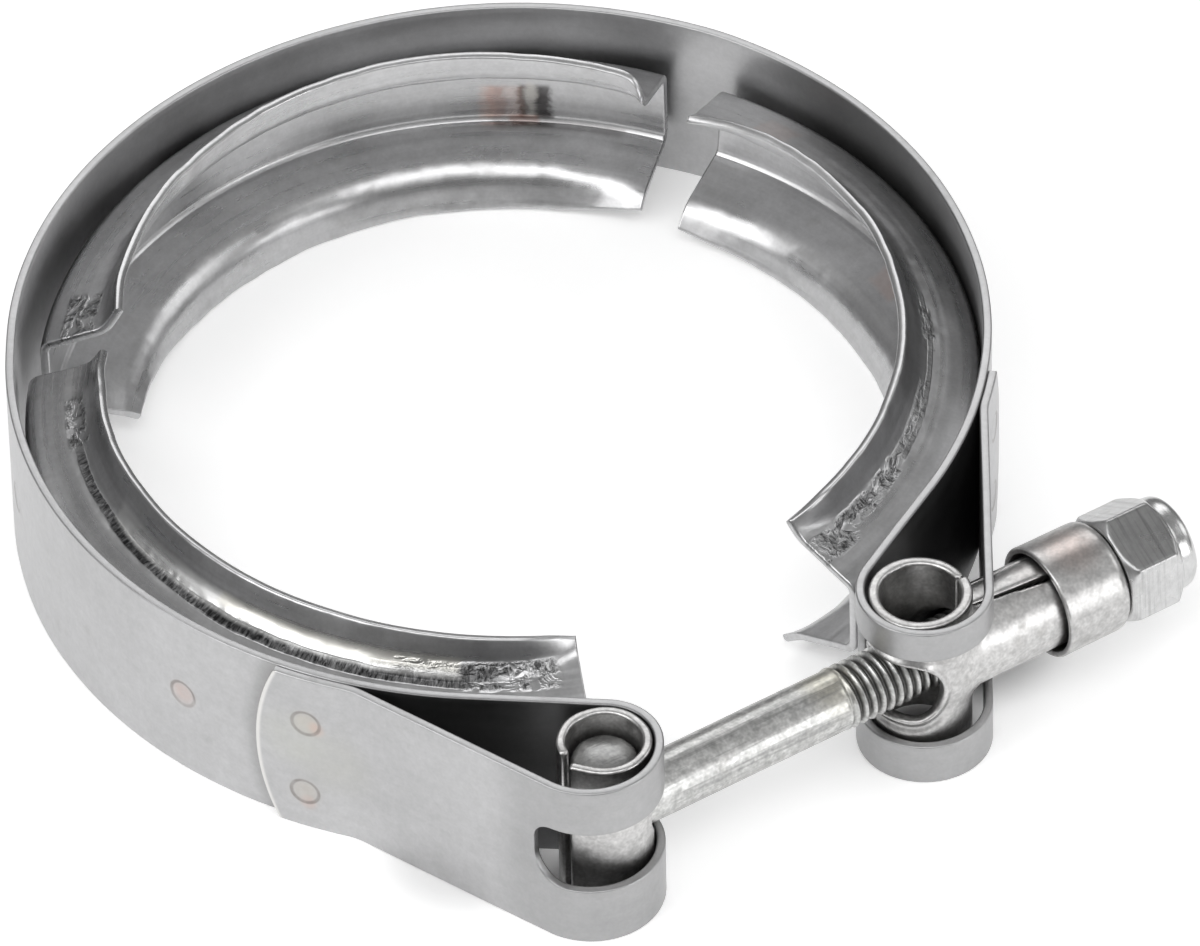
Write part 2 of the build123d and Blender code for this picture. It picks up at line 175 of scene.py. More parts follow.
class Path:
    """A chain of lines and arcs in plan, read by distance along it."""

    def __init__(self, elements):
        self.e = elements
        self.len = [math.hypot(e[2][0] - e[1][0], e[2][1] - e[1][1]) if e[0] == "L"
                    else e[2] * math.radians(abs(e[4] - e[3])) for e in elements]
        self.cum = np.concatenate([[0], np.cumsum(self.len)])
        self.total = float(self.cum[-1])

    def at(self, s):
        """Points and left normals."""
        s = np.asarray(s, float)
        p, n = np.zeros(s.shape + (2,)), np.zeros(s.shape + (2,))
        k = np.clip(np.searchsorted(self.cum, s, side="right") - 1, 0, len(self.e) - 1)
        for i, e in enumerate(self.e):
            m = k == i
            if not m.any():
                continue
            d = s[m] - self.cum[i]
            if e[0] == "L":
                t = np.array(e[2]) - np.array(e[1])
                t = t / np.linalg.norm(t)
                p[m] = np.array(e[1]) + d[:, None] * t
                n[m] = (-t[1], t[0])
            else:
                _, c, r, a0, a1 = e
                sg = 1 if a1 > a0 else -1
                a = np.radians(a0) + sg * d / r
                o = np.stack([np.cos(a), np.sin(a)], -1)
                p[m] = np.array(c) + r * o
                n[m] = -sg * o
        return p, n

    def stations(self, s0, s1, big=1.0, small=0.4):
        out = []
        for i, e in enumerate(self.e):
            a, b = max(s0, self.cum[i]), min(s1, self.cum[i + 1])
            if b <= a:
                continue
            step = small if e[0] == "A" and e[2] < 12 else big
            n = max(1, int(round((b - a) / step)))
            out.append(np.linspace(a, b, n, endpoint=False))
        return np.concatenate(out + [[s1]])


def inside(poly, pts):
    """Even-odd test of points against one closed polygon."""
    x, y = pts[:, 0], pts[:, 1]
    r = np.zeros(len(pts), bool)
    px, py = poly[:, 0], poly[:, 1]
    qx, qy = np.roll(px, -1), np.roll(py, -1)
    for i in range(len(poly)):
        if py[i] == qy[i]:
            continue
        c = (py[i] > y) != (qy[i] > y)
        xx = (qx[i] - px[i]) * (y - py[i]) / (qy[i] - py[i]) + px[i]
        r ^= c & (x < xx)
    return r


def near_loop(loop, pts, d):
    """Mask of points closer than d to a closed polygon."""
    hit = np.zeros(len(pts), bool)
    a, b = loop, np.roll(loop, -1, 0)
    lo, hi = loop.min(0) - d, loop.max(0) + d
    cand = np.where(((pts >= lo) & (pts <= hi)).all(1))[0]
    if len(cand) == 0:
        return hit
    q = pts[cand]
    best = np.full(len(q), 1e9)
    for i in range(len(a)):
        v = b[i] - a[i]
        L = v @ v
        if L < 1e-12:
            continue
        t = np.clip(((q - a[i]) @ v) / L, 0, 1)
        best = np.minimum(best, ((q - a[i] - t[:, None] * v) ** 2).sum(1))
    hit[cand] = best < d * d
    return hit


def resample(loop, step):
    """Closed polygon cut into pieces of about step, its corners kept."""
    out = []
    for a, b in zip(loop, np.roll(loop, -1, 0)):
        n = max(1, int(round(np.linalg.norm(b - a) / step)))
        out += [a + (b - a) * k / n for k in range(n)]
    return np.array(out)


def sheet(path, loops, t=T, rr=0.20, big=1.0, small=0.4, dz=1.0, cuts=(), shape=None, extra=None, rounds=3, zc=0.0):
    """Solid sheet bent along a path. loops are closed polygons in (s, z) with the material on their left.
    cuts are s values where the sheet goes on in another piece: no rounding there. shape(s, z) gives the two faces' shifts."""
    loops = [np.asarray(l, float) for l in loops]
    infos = []
    for l in loops:
        a = l - np.roll(l, 1, 0)
        b = np.roll(l, -1, 0) - l
        na = np.stack([-a[:, 1], a[:, 0]], -1) / np.maximum(np.linalg.norm(a, axis=1), 1e-9)[:, None]
        nb = np.stack([-b[:, 1], b[:, 0]], -1) / np.maximum(np.linalg.norm(b, axis=1), 1e-9)[:, None]
        n = na + nb
        n /= np.maximum((n * n).sum(1) / 2, 0.35)[:, None]
        for c in cuts:
            on = abs(l[:, 0] - c) < 1e-6
            if not on.any():
                continue
            n[on, 0] = 0
            zs = l[on, 1]
            n[on, 1] = np.where(zs > zs.max() - 1e-6, -1.0, np.where(zs < zs.min() + 1e-6, 1.0, 0.0))
        infos.append(n)
    phis = [math.radians(90 - 90 * k / rounds) for k in range(rounds + 1)]
    prof = [(rr * (1 - math.sin(p)), t / 2 - rr * (1 - math.cos(p))) for p in phis]
    ring = [l + n * prof[-1][0] for l, n in zip(loops, infos)]
    s0, s1 = loops[0][:, 0].min(), loops[0][:, 0].max()
    st = path.stations(s0, s1, big, small)
    zs = np.linspace(loops[0][:, 1].min(), loops[0][:, 1].max(), max(3, int(round(np.ptp(loops[0][:, 1]) / dz)) + 1))
    g = np.stack(np.meshgrid(st, zs, indexing="ij"), -1).reshape(-1, 2)
    if extra is not None and len(extra):
        e = np.asarray(extra)
        cl = np.zeros(len(g), bool)
        for c in np.unique(np.round(e[:, 2:4], 6), axis=0):
            cl |= ((g - c) ** 2).sum(1) < 2.6 ** 2
        g = np.concatenate([g[~cl], e[:, :2]])
    keep = inside(ring[0], g)
    for h in ring[1:]:
        keep &= ~inside(h, g)
    for h in ring:
        keep &= ~near_loop(h, g, 0.16)
    g = g[keep]
    nb = [len(r) for r in ring]
    pts = np.concatenate(ring + [g])
    edges, o = [], 0
    for k in nb:
        edges += [(o + i, o + (i + 1) % k) for i in range(k)]
        o += k
    sc = 1e-2
    res = delaunay_2d_cdt([Vector((p[0] * sc, p[1] * sc)) for p in pts], edges, [], 0, 1e-9, True)
    vo = np.array([[v.x, v.y] for v in res[0]]) / sc
    tri = np.array([f for f in res[2] if len(f) == 3], int)
    orig = res[3]
    if len(vo) != len(pts):
        raise RuntimeError("sheet: the outline crosses itself, %d points became %d" % (len(pts), len(vo)))
    remap = np.array([o[0] for o in orig])
    tri = remap[tri]
    cen = pts[tri].mean(1)
    ok = inside(ring[0], cen)
    for h in ring[1:]:
        ok &= ~inside(h, cen)
    tri = tri[ok]
    a, b, c = pts[tri[:, 0]], pts[tri[:, 1]], pts[tri[:, 2]]
    area = (b[:, 0] - a[:, 0]) * (c[:, 1] - a[:, 1]) - (b[:, 1] - a[:, 1]) * (c[:, 0] - a[:, 0])
    tri = tri[abs(area) > 1e-9]
    area = area[abs(area) > 1e-9]
    tri[area < 0] = tri[area < 0][:, ::-1]

    def place(sz, h):
        p, n = path.at(np.clip(sz[:, 0], 0, path.total - 1e-9))
        extra_s = sz[:, 0] - np.clip(sz[:, 0], 0, path.total)
        tdir = np.stack([n[:, 1], -n[:, 0]], -1)
        p = p + tdir * extra_s[:, None] + n * h[:, None]
        return np.concatenate([p, sz[:, 1:2] + zc], 1)

    f_l = f_r = None
    if shape is None:
        shape = lambda s, z: (np.zeros(len(s)), np.zeros(len(s)))
    verts, uv, faces, top = [], [], [], len(pts)
    side = [np.ones(top), np.zeros(top)]
    f_l, f_r = shape(pts[:, 0], pts[:, 1])
    verts.append(place(pts, t / 2 + f_l)); uv.append(pts)
    verts.append(place(pts, -t / 2 + f_r)); uv.append(pts)
    # left normal x travel: with z up, (s, z) ccw faces the right side
    faces += [tuple(f[::-1]) for f in tri]
    faces += [tuple(f + top) for f in tri]
    off = 2 * top
    bases = []
    o = 0
    for l, n in zip(loops, infos):
        k = len(l)
        chain = [np.arange(o, o + k)]
        for sign, order in ((1, range(rounds - 1, -1, -1)), (-1, range(0, rounds))):
            for j in order:
                d, h = prof[j]
                q = l + n * d
                a_, b_ = shape(q[:, 0], q[:, 1])
                verts.append(place(q, sign * h + (a_ if sign > 0 else b_)))
                uv.append(q)
                side.append(np.full(k, 0.5 + sign * 0.5 * h / (t / 2)))
                chain.append(np.arange(off, off + k)); off += k
        chain.append(np.arange(o, o + k) + top)
        for r0, r1 in zip(chain[:-1], chain[1:]):
            for i in range(k):
                j = (i + 1) % k
                faces.append((r0[i], r0[j], r1[j], r1[i]))
        o += k
    v = np.concatenate(verts)
    return v, faces, np.concatenate(uv) * MM, np.concatenate(side)


def clean(o, dist=0.00002):
    bm = bmesh.new()
    bm.from_mesh(o.data)
    bmesh.ops.remove_doubles(bm, verts=bm.verts, dist=dist)
    bmesh.ops.dissolve_degenerate(bm, edges=bm.edges, dist=dist * 0.5)
    bmesh.ops.recalc_face_normals(bm, faces=bm.faces)
    bm.to_mesh(o.data)
    bm.free()
    o.data.update()
    return o


def nets(f, lo, hi, h, relax=3):
    """Closed surface of the implicit function f < 0, as quads pulled onto it."""
    lo, hi = np.array(lo, float), np.array(hi, float)
    n = np.ceil((hi - lo) / h).astype(int) + 1
    ax = [lo[i] + h * np.arange(n[i]) for i in range(3)]
    F = np.empty(tuple(n), np.float32)
    for i in range(n[0]):
        Y, Z = np.meshgrid(ax[1], ax[2], indexing="ij")
        P = np.stack([np.full(Y.shape, ax[0][i]), Y, Z], -1).reshape(-1, 3)
        F[i] = f(P).reshape(n[1], n[2])
    neg = F < 0
    m = n - 1
    acc = np.zeros(tuple(m) + (3,), np.float32)
    cnt = np.zeros(tuple(m), np.float32)
    crossings = []
    for a in range(3):
        s0 = [slice(None)] * 3; s1 = [slice(None)] * 3
        s0[a], s1[a] = slice(0, -1), slice(1, None)
        A, B = F[tuple(s0)], F[tuple(s1)]
        cross = neg[tuple(s0)] != neg[tuple(s1)]
        t = np.where(cross, A / np.where(cross, A - B, 1), 0)
        I = np.stack(np.meshgrid(*[np.arange(k) for k in A.shape], indexing="ij"), -1).astype(np.float32)
        I[..., a] += t
        I *= cross[..., None]
        b, c = [k for k in range(3) if k != a]
        for db in (0, 1):
            for dc in (0, 1):
                sl = [slice(None)] * 3
                sl[b] = slice(1, None) if db else slice(0, -1)
                sl[c] = slice(1, None) if dc else slice(0, -1)
                acc += I[tuple(sl)]
                cnt += cross[tuple(sl)]
        crossings.append((a, b, c, cross, neg[tuple(s0)]))
    has = cnt > 0
    idx = np.full(tuple(m), -1, np.int64)
    idx[has] = np.arange(has.sum())
    V = lo + h * (acc[has] / cnt[has][:, None])
    quads = []
    for a, b, c, cross, first in crossings:
        e = np.argwhere(cross)
        ok = (e[:, b] > 0) & (e[:, c] > 0) & (e[:, b] < m[b]) & (e[:, c] < m[c])
        e = e[ok]
        out = first[tuple(e.T)]

        def cell(db, dc):
            q = e.copy()
            q[:, b] -= db
            q[:, c] -= dc
            return idx[tuple(q.T)]
        q = np.stack([cell(1, 1), cell(0, 1), cell(0, 0), cell(1, 0)], -1)
        right = (b - a) % 3 == 1
        flip = out if not right else ~out
        q[flip] = q[flip][:, ::-1]
        quads.append(q)
    Q = np.concatenate(quads)

    def pull(V, steps):
        for _ in range(steps):
            e = 1e-3
            d = f(V)
            g = np.stack([(f(V + e * np.eye(3)[k]) - f(V - e * np.eye(3)[k])) / (2 * e) for k in range(3)], -1)
            g2 = np.maximum((g * g).sum(1), 0.05)
            step = -(d / g2)[:, None] * g
            ln = np.linalg.norm(step, axis=1)
            V = V + step * np.minimum(1, 0.5 * h / np.maximum(ln, 1e-9))[:, None]
        return V
    V = pull(V, 2)
    E = np.unique(np.sort(np.concatenate([Q[:, [0, 1]], Q[:, [1, 2]], Q[:, [2, 3]], Q[:, [3, 0]]]), 1), axis=0)
    for _ in range(relax):
        s = np.zeros_like(V); k = np.zeros(len(V))
        np.add.at(s, E[:, 0], V[E[:, 1]]); np.add.at(s, E[:, 1], V[E[:, 0]])
        np.add.at(k, E[:, 0], 1); np.add.at(k, E[:, 1], 1)
        V = V * 0.5 + 0.5 * s / np.maximum(k, 1)[:, None]
        V = pull(V, 1)
    return V, Q


def smin(a, b, k):
    h = np.clip(0.5 + 0.5 * (b - a) / k, 0, 1)
    return b * (1 - h) + a * h - k * h * (1 - h)


def smax(a, b, k):
    return -smin(-a, -b, k)


def bolt_frame(P):
    """Distance along the bolt, sideways to the left of it, and up, from a point."""
    x, y = P[:, 0] - PL[0], P[:, 1] - PL[1]
    return x * U[0] + y * U[1], -x * U[1] + y * U[0], P[:, 2] - ZB


def from_bolt(s, lat, up):
    """Inverse of bolt_frame."""
    s, lat, up = np.broadcast_arrays(s, lat, up)
    return np.stack([PL[0] + s * U[0] - lat * U[1], PL[1] + s * U[1] + lat * U[0], up + ZB], -1)


def lathe(profile, n=96, wobble=None):
    """Closed solid of revolution about the bolt's axis from a closed (s, r) profile."""
    pr = np.asarray(profile, float)
    th = np.linspace(0, 2 * np.pi, n, endpoint=False)
    S = np.repeat(pr[:, 0][:, None], n, 1)
    Rr = np.repeat(pr[:, 1][:, None], n, 1)
    V = from_bolt(S, Rr * np.sin(th)[None], Rr * np.cos(th)[None]).reshape(-1, 3)
    K = len(pr)
    F = []
    for i in range(K):
        j = (i + 1) % K
        for a in range(n):
            b = (a + 1) % n
            F.append((i * n + a, i * n + b, j * n + b, j * n + a))
    return V, F


def round_corners(pts, radii, seg=5):
    """Closed or open polygon with its corners rounded."""
    pts = [np.array(p, float) for p in pts]
    out = []
    n = len(pts)
    for i in range(n):
        r = radii[i]
        p, c, q = pts[i - 1], pts[i], pts[(i + 1) % n]
        u, v = (p - c) / np.linalg.norm(p - c), (q - c) / np.linalg.norm(q - c)
        cosang = np.clip(u @ v, -1, 1)
        half = math.acos(cosang) / 2
        if r <= 0 or half > 1.55:
            out.append(c)
            continue
        cut = min(r / math.tan(half), 0.49 * np.linalg.norm(p - c), 0.49 * np.linalg.norm(q - c))
        a, b = c + u * cut, c + v * cut
        for k in range(seg + 1):
            t = k / seg
            w = 1 - t
            # rational quadratic: an exact arc
            m = math.sin(half)
            den = w * w + 2 * w * t * m + t * t
            out.append((w * w * a + 2 * w * t * m * c + t * t * b) / den)
    return np.array(out)


# ------------------------------------------------------------ materials
def new_mat(name):
    m = bpy.data.materials.new(name)
    m.use_nodes = True
    nt = m.node_tree
    nt.nodes.clear()
    return m, nt


class N:
    """Short hand for building node trees."""

    def __init__(self, nt):
        self.nt = nt

    def node(self, kind, **props):
        n = self.nt.nodes.new(kind)
        for k, v in props.items():
            setattr(n, k, v)
        return n

    def link(self, a, b):
        self.nt.links.new(a, b)

    def set(self, sock, v):
        if isinstance(v, bpy.types.NodeSocket):
            self.link(v, sock)
        else:
            sock.default_value = v

    def math(self, op, a, b=None, c=None, clamp=False):
        n = self.node("ShaderNodeMath", operation=op, use_clamp=clamp)
        self.set(n.inputs[0], a)
        if b is not None:
            self.set(n.inputs[1], b)
        if c is not None:
            self.set(n.inputs[2], c)
        return n.outputs[0]

    def noise(self, vec, scale, detail=3.0, rough=0.5, dist=0.0, dims="3D"):
        n = self.node("ShaderNodeTexNoise", noise_dimensions=dims)
        self.link(vec, n.inputs["Vector"])
        n.inputs["Scale"].default_value = scale
        n.inputs["Detail"].default_value = detail
        n.inputs["Roughness"].default_value = rough
        n.inputs["Distortion"].default_value = dist
        return n.outputs["Fac"]

    def remap(self, v, a, b, c, d, smoothstep=False):
        n = self.node("ShaderNodeMapRange", interpolation_type="SMOOTHSTEP" if smoothstep else "LINEAR")
        self.set(n.inputs["Value"], v)
        for k, x in zip(("From Min", "From Max", "To Min", "To Max"), (a, b, c, d)):
            n.inputs[k].default_value = x
        return n.outputs["Result"]

    def mapping(self, vec, scale=(1, 1, 1), loc=(0, 0, 0), rot=(0, 0, 0)):
        n = self.node("ShaderNodeMapping")
        self.link(vec, n.inputs["Vector"])
        n.inputs["Scale"].default_value = scale
        n.inputs["Location"].default_value = loc
        n.inputs["Rotation"].default_value = rot
        return n.outputs["Vector"]

    def mix(self, fac, a, b):
        n = self.node("ShaderNodeMix", data_type="RGBA")
        self.set(n.inputs["Factor"], fac)
        self.set(n.inputs["A"], a)
        self.set(n.inputs["B"], b)
        return n.outputs["Result"]

    def ball(self, vec, centre, radius, soft=0.4):
        """1 inside a sphere round centre (metres), fading to 0 at its edge."""
        n = self.node("ShaderNodeVectorMath", operation="DISTANCE")
        self.link(vec, n.inputs[0])
        n.inputs[1].default_value = centre
        return self.remap(n.outputs["Value"], radius * (1 - soft), radius, 1.0, 0.0, True)

    def bump(self, height, strength, distance, normal=None):
        n = self.node("ShaderNodeBump")
        n.inputs["Strength"].default_value = strength
        n.inputs["Distance"].default_value = distance
        self.link(height, n.inputs["Height"])
        if normal is not None:
            self.link(normal, n.inputs["Normal"])
        return n.outputs["Normal"]


def steel(name, base=(0.60, 0.60, 0.605), rough=0.36, streak=(30, 900), uv=True, streak_amt=0.35, grime=0.25,
          tint=(), extra=None, blotch=1.0, grain=0.12, pits=0.15):
    """Satin stainless: rolling streaks along u, soft blotches, fine scratches, tints at heated spots."""
    m, nt = new_mat(name)
    k = N(nt)
    out = k.node("ShaderNodeOutputMaterial")
    b = k.node("ShaderNodeBsdfPrincipled")
    k.link(b.outputs[0], out.inputs[0])
    b.inputs["Metallic"].default_value = 1.0
    tc = k.node("ShaderNodeTexCoord")
    obj = tc.outputs["Object"]
    src = tc.outputs["UV"] if uv else obj
    # long fine lines left by rolling
    sv = k.mapping(src, (streak[0], streak[1], 1.0) if uv else (streak[0], streak[0], streak[1]))
    lines = k.noise(sv, 1.0, 2.0, 0.6)
    sv2 = k.mapping(src, (streak[0] * 3.1, streak[1] * 3.7, 1.0) if uv else (streak[0] * 3, streak[0] * 3, streak[1] * 3.4))
    lines2 = k.noise(sv2, 1.0, 1.0, 0.5)
    cloud = k.noise(obj, 95.0, 3.0, 0.55)
    broad = k.noise(obj, 28.0, 1.0, 0.5)
    fine = k.noise(obj, 900.0, 2.0, 0.6)
    speck = k.noise(obj, 2600.0, 0.0, 0.6)
    # colour
    v = k.remap(cloud, 0.3, 0.7, 1 - 0.10 * blotch, 1 + 0.06 * blotch)
    v = k.math("MULTIPLY", v, k.remap(broad, 0.3, 0.7, 1 - 0.05 * blotch, 1 + 0.05 * blotch))
    v = k.math("MULTIPLY", v, k.remap(lines, 0.3, 0.7, 1 - 0.07 * streak_amt * 2, 1 + 0.05 * streak_amt * 2))
    v = k.math("MULTIPLY", v, k.remap(speck, 0.3, 0.75, 1 - 0.3 * grain, 1 + 0.2 * grain))
    v = k.math("MULTIPLY", v, k.remap(fine, 0.3, 0.7, 1 - 0.6 * grain, 1 + 0.4 * grain))
    dirt = k.remap(k.noise(obj, 260.0, 3.0, 0.65), 0.56, 0.78, 0.0, grime, True)
    col = k.node("ShaderNodeHueSaturation")
    col.inputs["Color"].default_value = (*base, 1)
    k.link(v, col.inputs["Value"])
    c = k.mix(dirt, col.outputs["Color"], (base[0] * 0.62, base[1] * 0.60, base[2] * 0.57, 1))
    for centre, radius, colour, amount in tint:
        f = k.ball(obj, tuple(x * MM for x in centre), radius * MM, 0.75)
        f = k.math("MULTIPLY", f, amount)
        f = k.math("MULTIPLY", f, k.remap(fine, 0.3, 0.6, 0.6, 1.0))
        c = k.mix(f, c, (*colour, 1))
    rextra = hextra = None
    if extra:
        c, rextra, hextra = extra(k, obj, tc.outputs["UV"], c)
    k.link(c, b.inputs["Base Color"])
    # roughness
    r = k.remap(cloud, 0.3, 0.7, rough * 0.88, rough * 1.14)
    r = k.math("ADD", r, k.remap(lines, 0.3, 0.7, -0.04 * streak_amt * 2, 0.05 * streak_amt * 2))
    r = k.math("ADD", r, k.math("MULTIPLY", dirt, 0.4))
    if rextra is not None:
        r = k.math("ADD", r, rextra)
    k.link(k.math("MAXIMUM", r, 0.06), b.inputs["Roughness"])
    # bump: lines, dimples of handling, small nicks
    hl = k.math("ADD", k.math("MULTIPLY", lines, 0.7), k.math("MULTIPLY", lines2, 0.3))
    n1 = k.bump(hl, 0.25 * streak_amt * 2, 0.00004)
    n2 = k.bump(fine, min(1.0, grain), 0.00006, n1)
    vor = k.node("ShaderNodeTexVoronoi", feature="F1")
    k.link(k.mapping(obj, (310, 310, 310)), vor.inputs["Vector"])
    vor.inputs["Scale"].default_value = 1.0
    nick = k.remap(vor.outputs["Distance"], 0.0, 0.10, 0.0, 1.0, True)
    n3 = k.bump(nick, pits, 0.00005, n2)
    if hextra is not None:
        n3 = k.bump(hextra, 0.8, 0.00012, n3)
    k.link(n3, b.inputs["Normal"])
    return m


PALE = (0.66, 0.655, 0.65)
STRAW = (0.56, 0.46, 0.28)
PINK = (0.62, 0.44, 0.38)
BROWN = (0.10, 0.055, 0.045)


def box_mask(k, x, a, b, soft):
    """1 where the socket x lies between a and b, in metres, fading to 0 over soft outside them."""
    up = k.remap(x, a - soft, a, 0.0, 1.0, True)
    down = k.remap(x, b, b + soft, 1.0, 0.0, True)
    return k.math("MULTIPLY", up, down)


def side_of(k):
    n = k.node("ShaderNodeAttribute", attribute_name="side")
    return n.outputs["Fac"]


def u_of(az):
    return math.radians(az) * 55 * MM


def press_marks_and_highlight(bands, scuffs, stains_and_highlights):
    """Marks of the press tool on one V segment, in its own (u, v), and painted highlight bands.
    bands: (az0, az1, v middle, half width, depth) of the dragged dark strip; scuffs: (az0, az1, v0, v1, amount);
    stains_and_highlights: (az0, az1, v0, v1, side, colour, amount), stains and painted highlight bands."""
    def f(k, obj, uv, c):
        sp = k.node("ShaderNodeSeparateXYZ")
        k.link(uv, sp.inputs[0])
        wob = k.noise(k.mapping(uv, (160, 160, 1)), 1.0, 3.0, 0.6)
        wide = k.noise(k.mapping(uv, (420, 520, 1)), 1.0, 3.0, 0.6, 0.5)
        u = k.math("ADD", sp.outputs["X"], k.remap(wide, 0.3, 0.7, -0.00045, 0.00045))
        v = k.math("ADD", sp.outputs["Y"], k.remap(wob, 0.3, 0.7, -0.00014, 0.00014))
        outer = k.remap(side_of(k), 0.35, 0.65, 0.0, 1.0, True)
        inner = k.remap(side_of(k), 0.35, 0.65, 1.0, 0.0, True)
        # short ridges across the strip, broken up
        ridge = k.noise(k.mapping(uv, (2600, 700, 1), rot=(0, 0, 0.35)), 1.0, 3.0, 0.65, 0.4)
        pit = k.noise(k.mapping(uv, (1500, 800, 1), rot=(0, 0, 0.5)), 1.0, 4.0, 0.7, 0.8)
        rough = None
        height = None
        for az0, az1, vm, hw, amount in bands:
            m = k.math("MULTIPLY", box_mask(k, u, u_of(az0), u_of(az1), 0.0035), box_mask(k, v, (vm - hw) * MM, (vm + hw) * MM, 0.00022))
            m = k.math("MULTIPLY", m, outer)
            dark = k.math("MULTIPLY", m, k.remap(ridge, 0.38, 0.66, 1.0 * amount, 0.42 * amount))
            c = k.mix(dark, c, (0.022, 0.022, 0.023, 1))
            add = k.math("MULTIPLY", m, 0.16)
            rough = add if rough is None else k.math("ADD", rough, add)
            h = k.math("MULTIPLY", m, ridge)
            height = h if height is None else k.math("ADD", height, h)
        for az0, az1, v0, v1, amount in scuffs:
            m = k.math("MULTIPLY", box_mask(k, u, u_of(az0), u_of(az1), 0.0016), box_mask(k, v, v0 * MM, v1 * MM, 0.0006))
            m = k.math("MULTIPLY", k.math("MULTIPLY", m, outer), k.remap(wide, 0.40, 0.56, 0.0, 1.0, True))
            mm = k.math("MULTIPLY", m, k.remap(pit, 0.42, 0.60, 0.22 * amount, 0.95 * amount, True))
            c = k.mix(mm, c, (0.035, 0.035, 0.035, 1))
            h = k.math("MULTIPLY", m, k.math("MULTIPLY", pit, 2.2))
            height = h if height is None else k.math("ADD", height, h)
        # stains, and on the front segment a pale band that is a painted highlight
        for az0, az1, v0, v1, sd, colour, amount in stains_and_highlights:
            m = k.math("MULTIPLY", box_mask(k, u, u_of(az0), u_of(az1), 0.0010), box_mask(k, v, v0 * MM, v1 * MM, 0.0010))
            m = k.math("MULTIPLY", m, outer if sd else inner)
            m = k.math("MULTIPLY", m, k.remap(wob, 0.3, 0.6, 0.65 * amount, amount))
            c = k.mix(m, c, (*colour, 1))
        return c, rough, height
    return f


SEG_BASE = (0.56, 0.56, 0.565)
MAT_SEG_A = steel(
    "stainless_segment_rear", SEG_BASE, 0.30, (9, 900), True, 0.55, 0.22, grain=0.10,
    extra=press_marks_and_highlight(
        [], [(165.5, 171.5, 7.5, 11.5, 0.9)],
        [(84.6, 87.6, -4.2, 0.4, 0, (0.05, 0.045, 0.045), 0.93), (88.0, 89.0, -4.2, 0.2, 0, PINK, 0.35), (90.2, 91.4, -4.4, 0.2, 0, (0.42, 0.26, 0.22), 0.65),
         (91.6, 92.4, -4.4, 0.2, 0, PINK, 0.45), (86.4, 86.7, -4.2, 0.8, 0, (0.62, 0.60, 0.57), 0.7), (86.0, 88.6, -5.6, -4.6, 0, (0.30, 0.17, 0.14), 0.7),
         (75, 91, -6.0, -5.3, 0, (0.16, 0.15, 0.15), 0.6)]))
MAT_SEG_B = steel(
    "stainless_segment_right", SEG_BASE, 0.31, (9, 900), True, 0.55, 0.22, grain=0.10,
    extra=press_marks_and_highlight(
        [(-20, 8, 10.9, 0.25, 0.45)],
        [(-42.5, -37.5, 9.0, 12.2, 0.95), (-36.5, -24.5, 10.4, 12.4, 0.95), (-24, -8, 10.9, 12.0, 0.4), (0, 6, 10.6, 11.6, 0.6)],
        [(46, 50, 8.0, 14.0, 1, PINK, 0.25), (25, 29, -9.0, -5.0, 0, PINK, 0.35)]))
MAT_SEG_C = steel(
    "stainless_segment_front", SEG_BASE, 0.29, (9, 900), True, 0.6, 0.22, grain=0.10,
    extra=press_marks_and_highlight(
        [(194, 214, 10.75, 0.50, 0.93), (208, 234, 10.75, 0.62, 0.98), (228, 262, 10.7, 0.78, 0.98), (254, 266, 11.6, 0.8, 0.7)],
        [(183, 190.5, 9.9, 12.4, 0.9), (264, 274.5, 9.8, 13.2, 0.95), (255, 266, 11.6, 13.0, 0.5)],
        # the first entry is a pale band along the upper lip, a painted highlight; the second a straw tint
        [(206, 262, 11.7, 13.3, 1, (0.80, 0.80, 0.79), 0.75), (228, 262, 12.6, 13.6, 1, (0.64, 0.61, 0.50), 0.35)]))


def bolt_coords(k, obj):
    """Distance along the bolt and from its axis, metres."""
    m = k.mapping(obj, (1, 1, 1), (-(PL[0] * U[0] + PL[1] * U[1]) * MM, -(PL[1] * U[0] - PL[0] * U[1]) * MM, -ZB * MM),
                  (0, 0, -math.radians(BOLT_DEG)))
    sp = k.node("ShaderNodeSeparateXYZ")
    k.link(m, sp.inputs[0])
    y, z = sp.outputs["Y"], sp.outputs["Z"]
    r = k.math("SQRT", k.math("ADD", k.math("MULTIPLY", y, y), k.math("MULTIPLY", z, z)))
    return sp.outputs["X"], r, m


def bolt_marks_and_shade(k, obj, uv, c):
    s, r, m = bolt_coords(k, obj)
    # painted shade: the thread's grooves are darkened towards their roots
    thread = k.remap(s, 0.0322, 0.0330, 0.0, 1.0, True)
    deep = k.remap(r, 0.00338, 0.00378, 1.0, 0.0, True)
    c = k.mix(k.math("MULTIPLY", k.math("MULTIPLY", thread, deep), 0.88), c, (0.06, 0.058, 0.055, 1))
    sp = k.node("ShaderNodeSeparateXYZ")
    k.link(m, sp.inputs[0])
    ends = k.remap(k.math("ABSOLUTE", sp.outputs["Z"]), 0.0070, 0.0084, 0.0, 0.62, True)
    c = k.mix(ends, c, (0.22, 0.22, 0.22, 1))
    # drawn lines and a worn darker line along the shank
    draw = k.noise(k.mapping(m, (60, 1500, 1500)), 1.0, 4.0, 0.65)
    f = k.math("MULTIPLY", k.math("SUBTRACT", 1.0, thread), k.remap(draw, 0.50, 0.66, 0.0, 0.45, True))
    c = k.mix(f, c, (0.24, 0.24, 0.24, 1))
    return c, k.math("MULTIPLY", thread, 0.03), k.math("MULTIPLY", draw, 0.6)


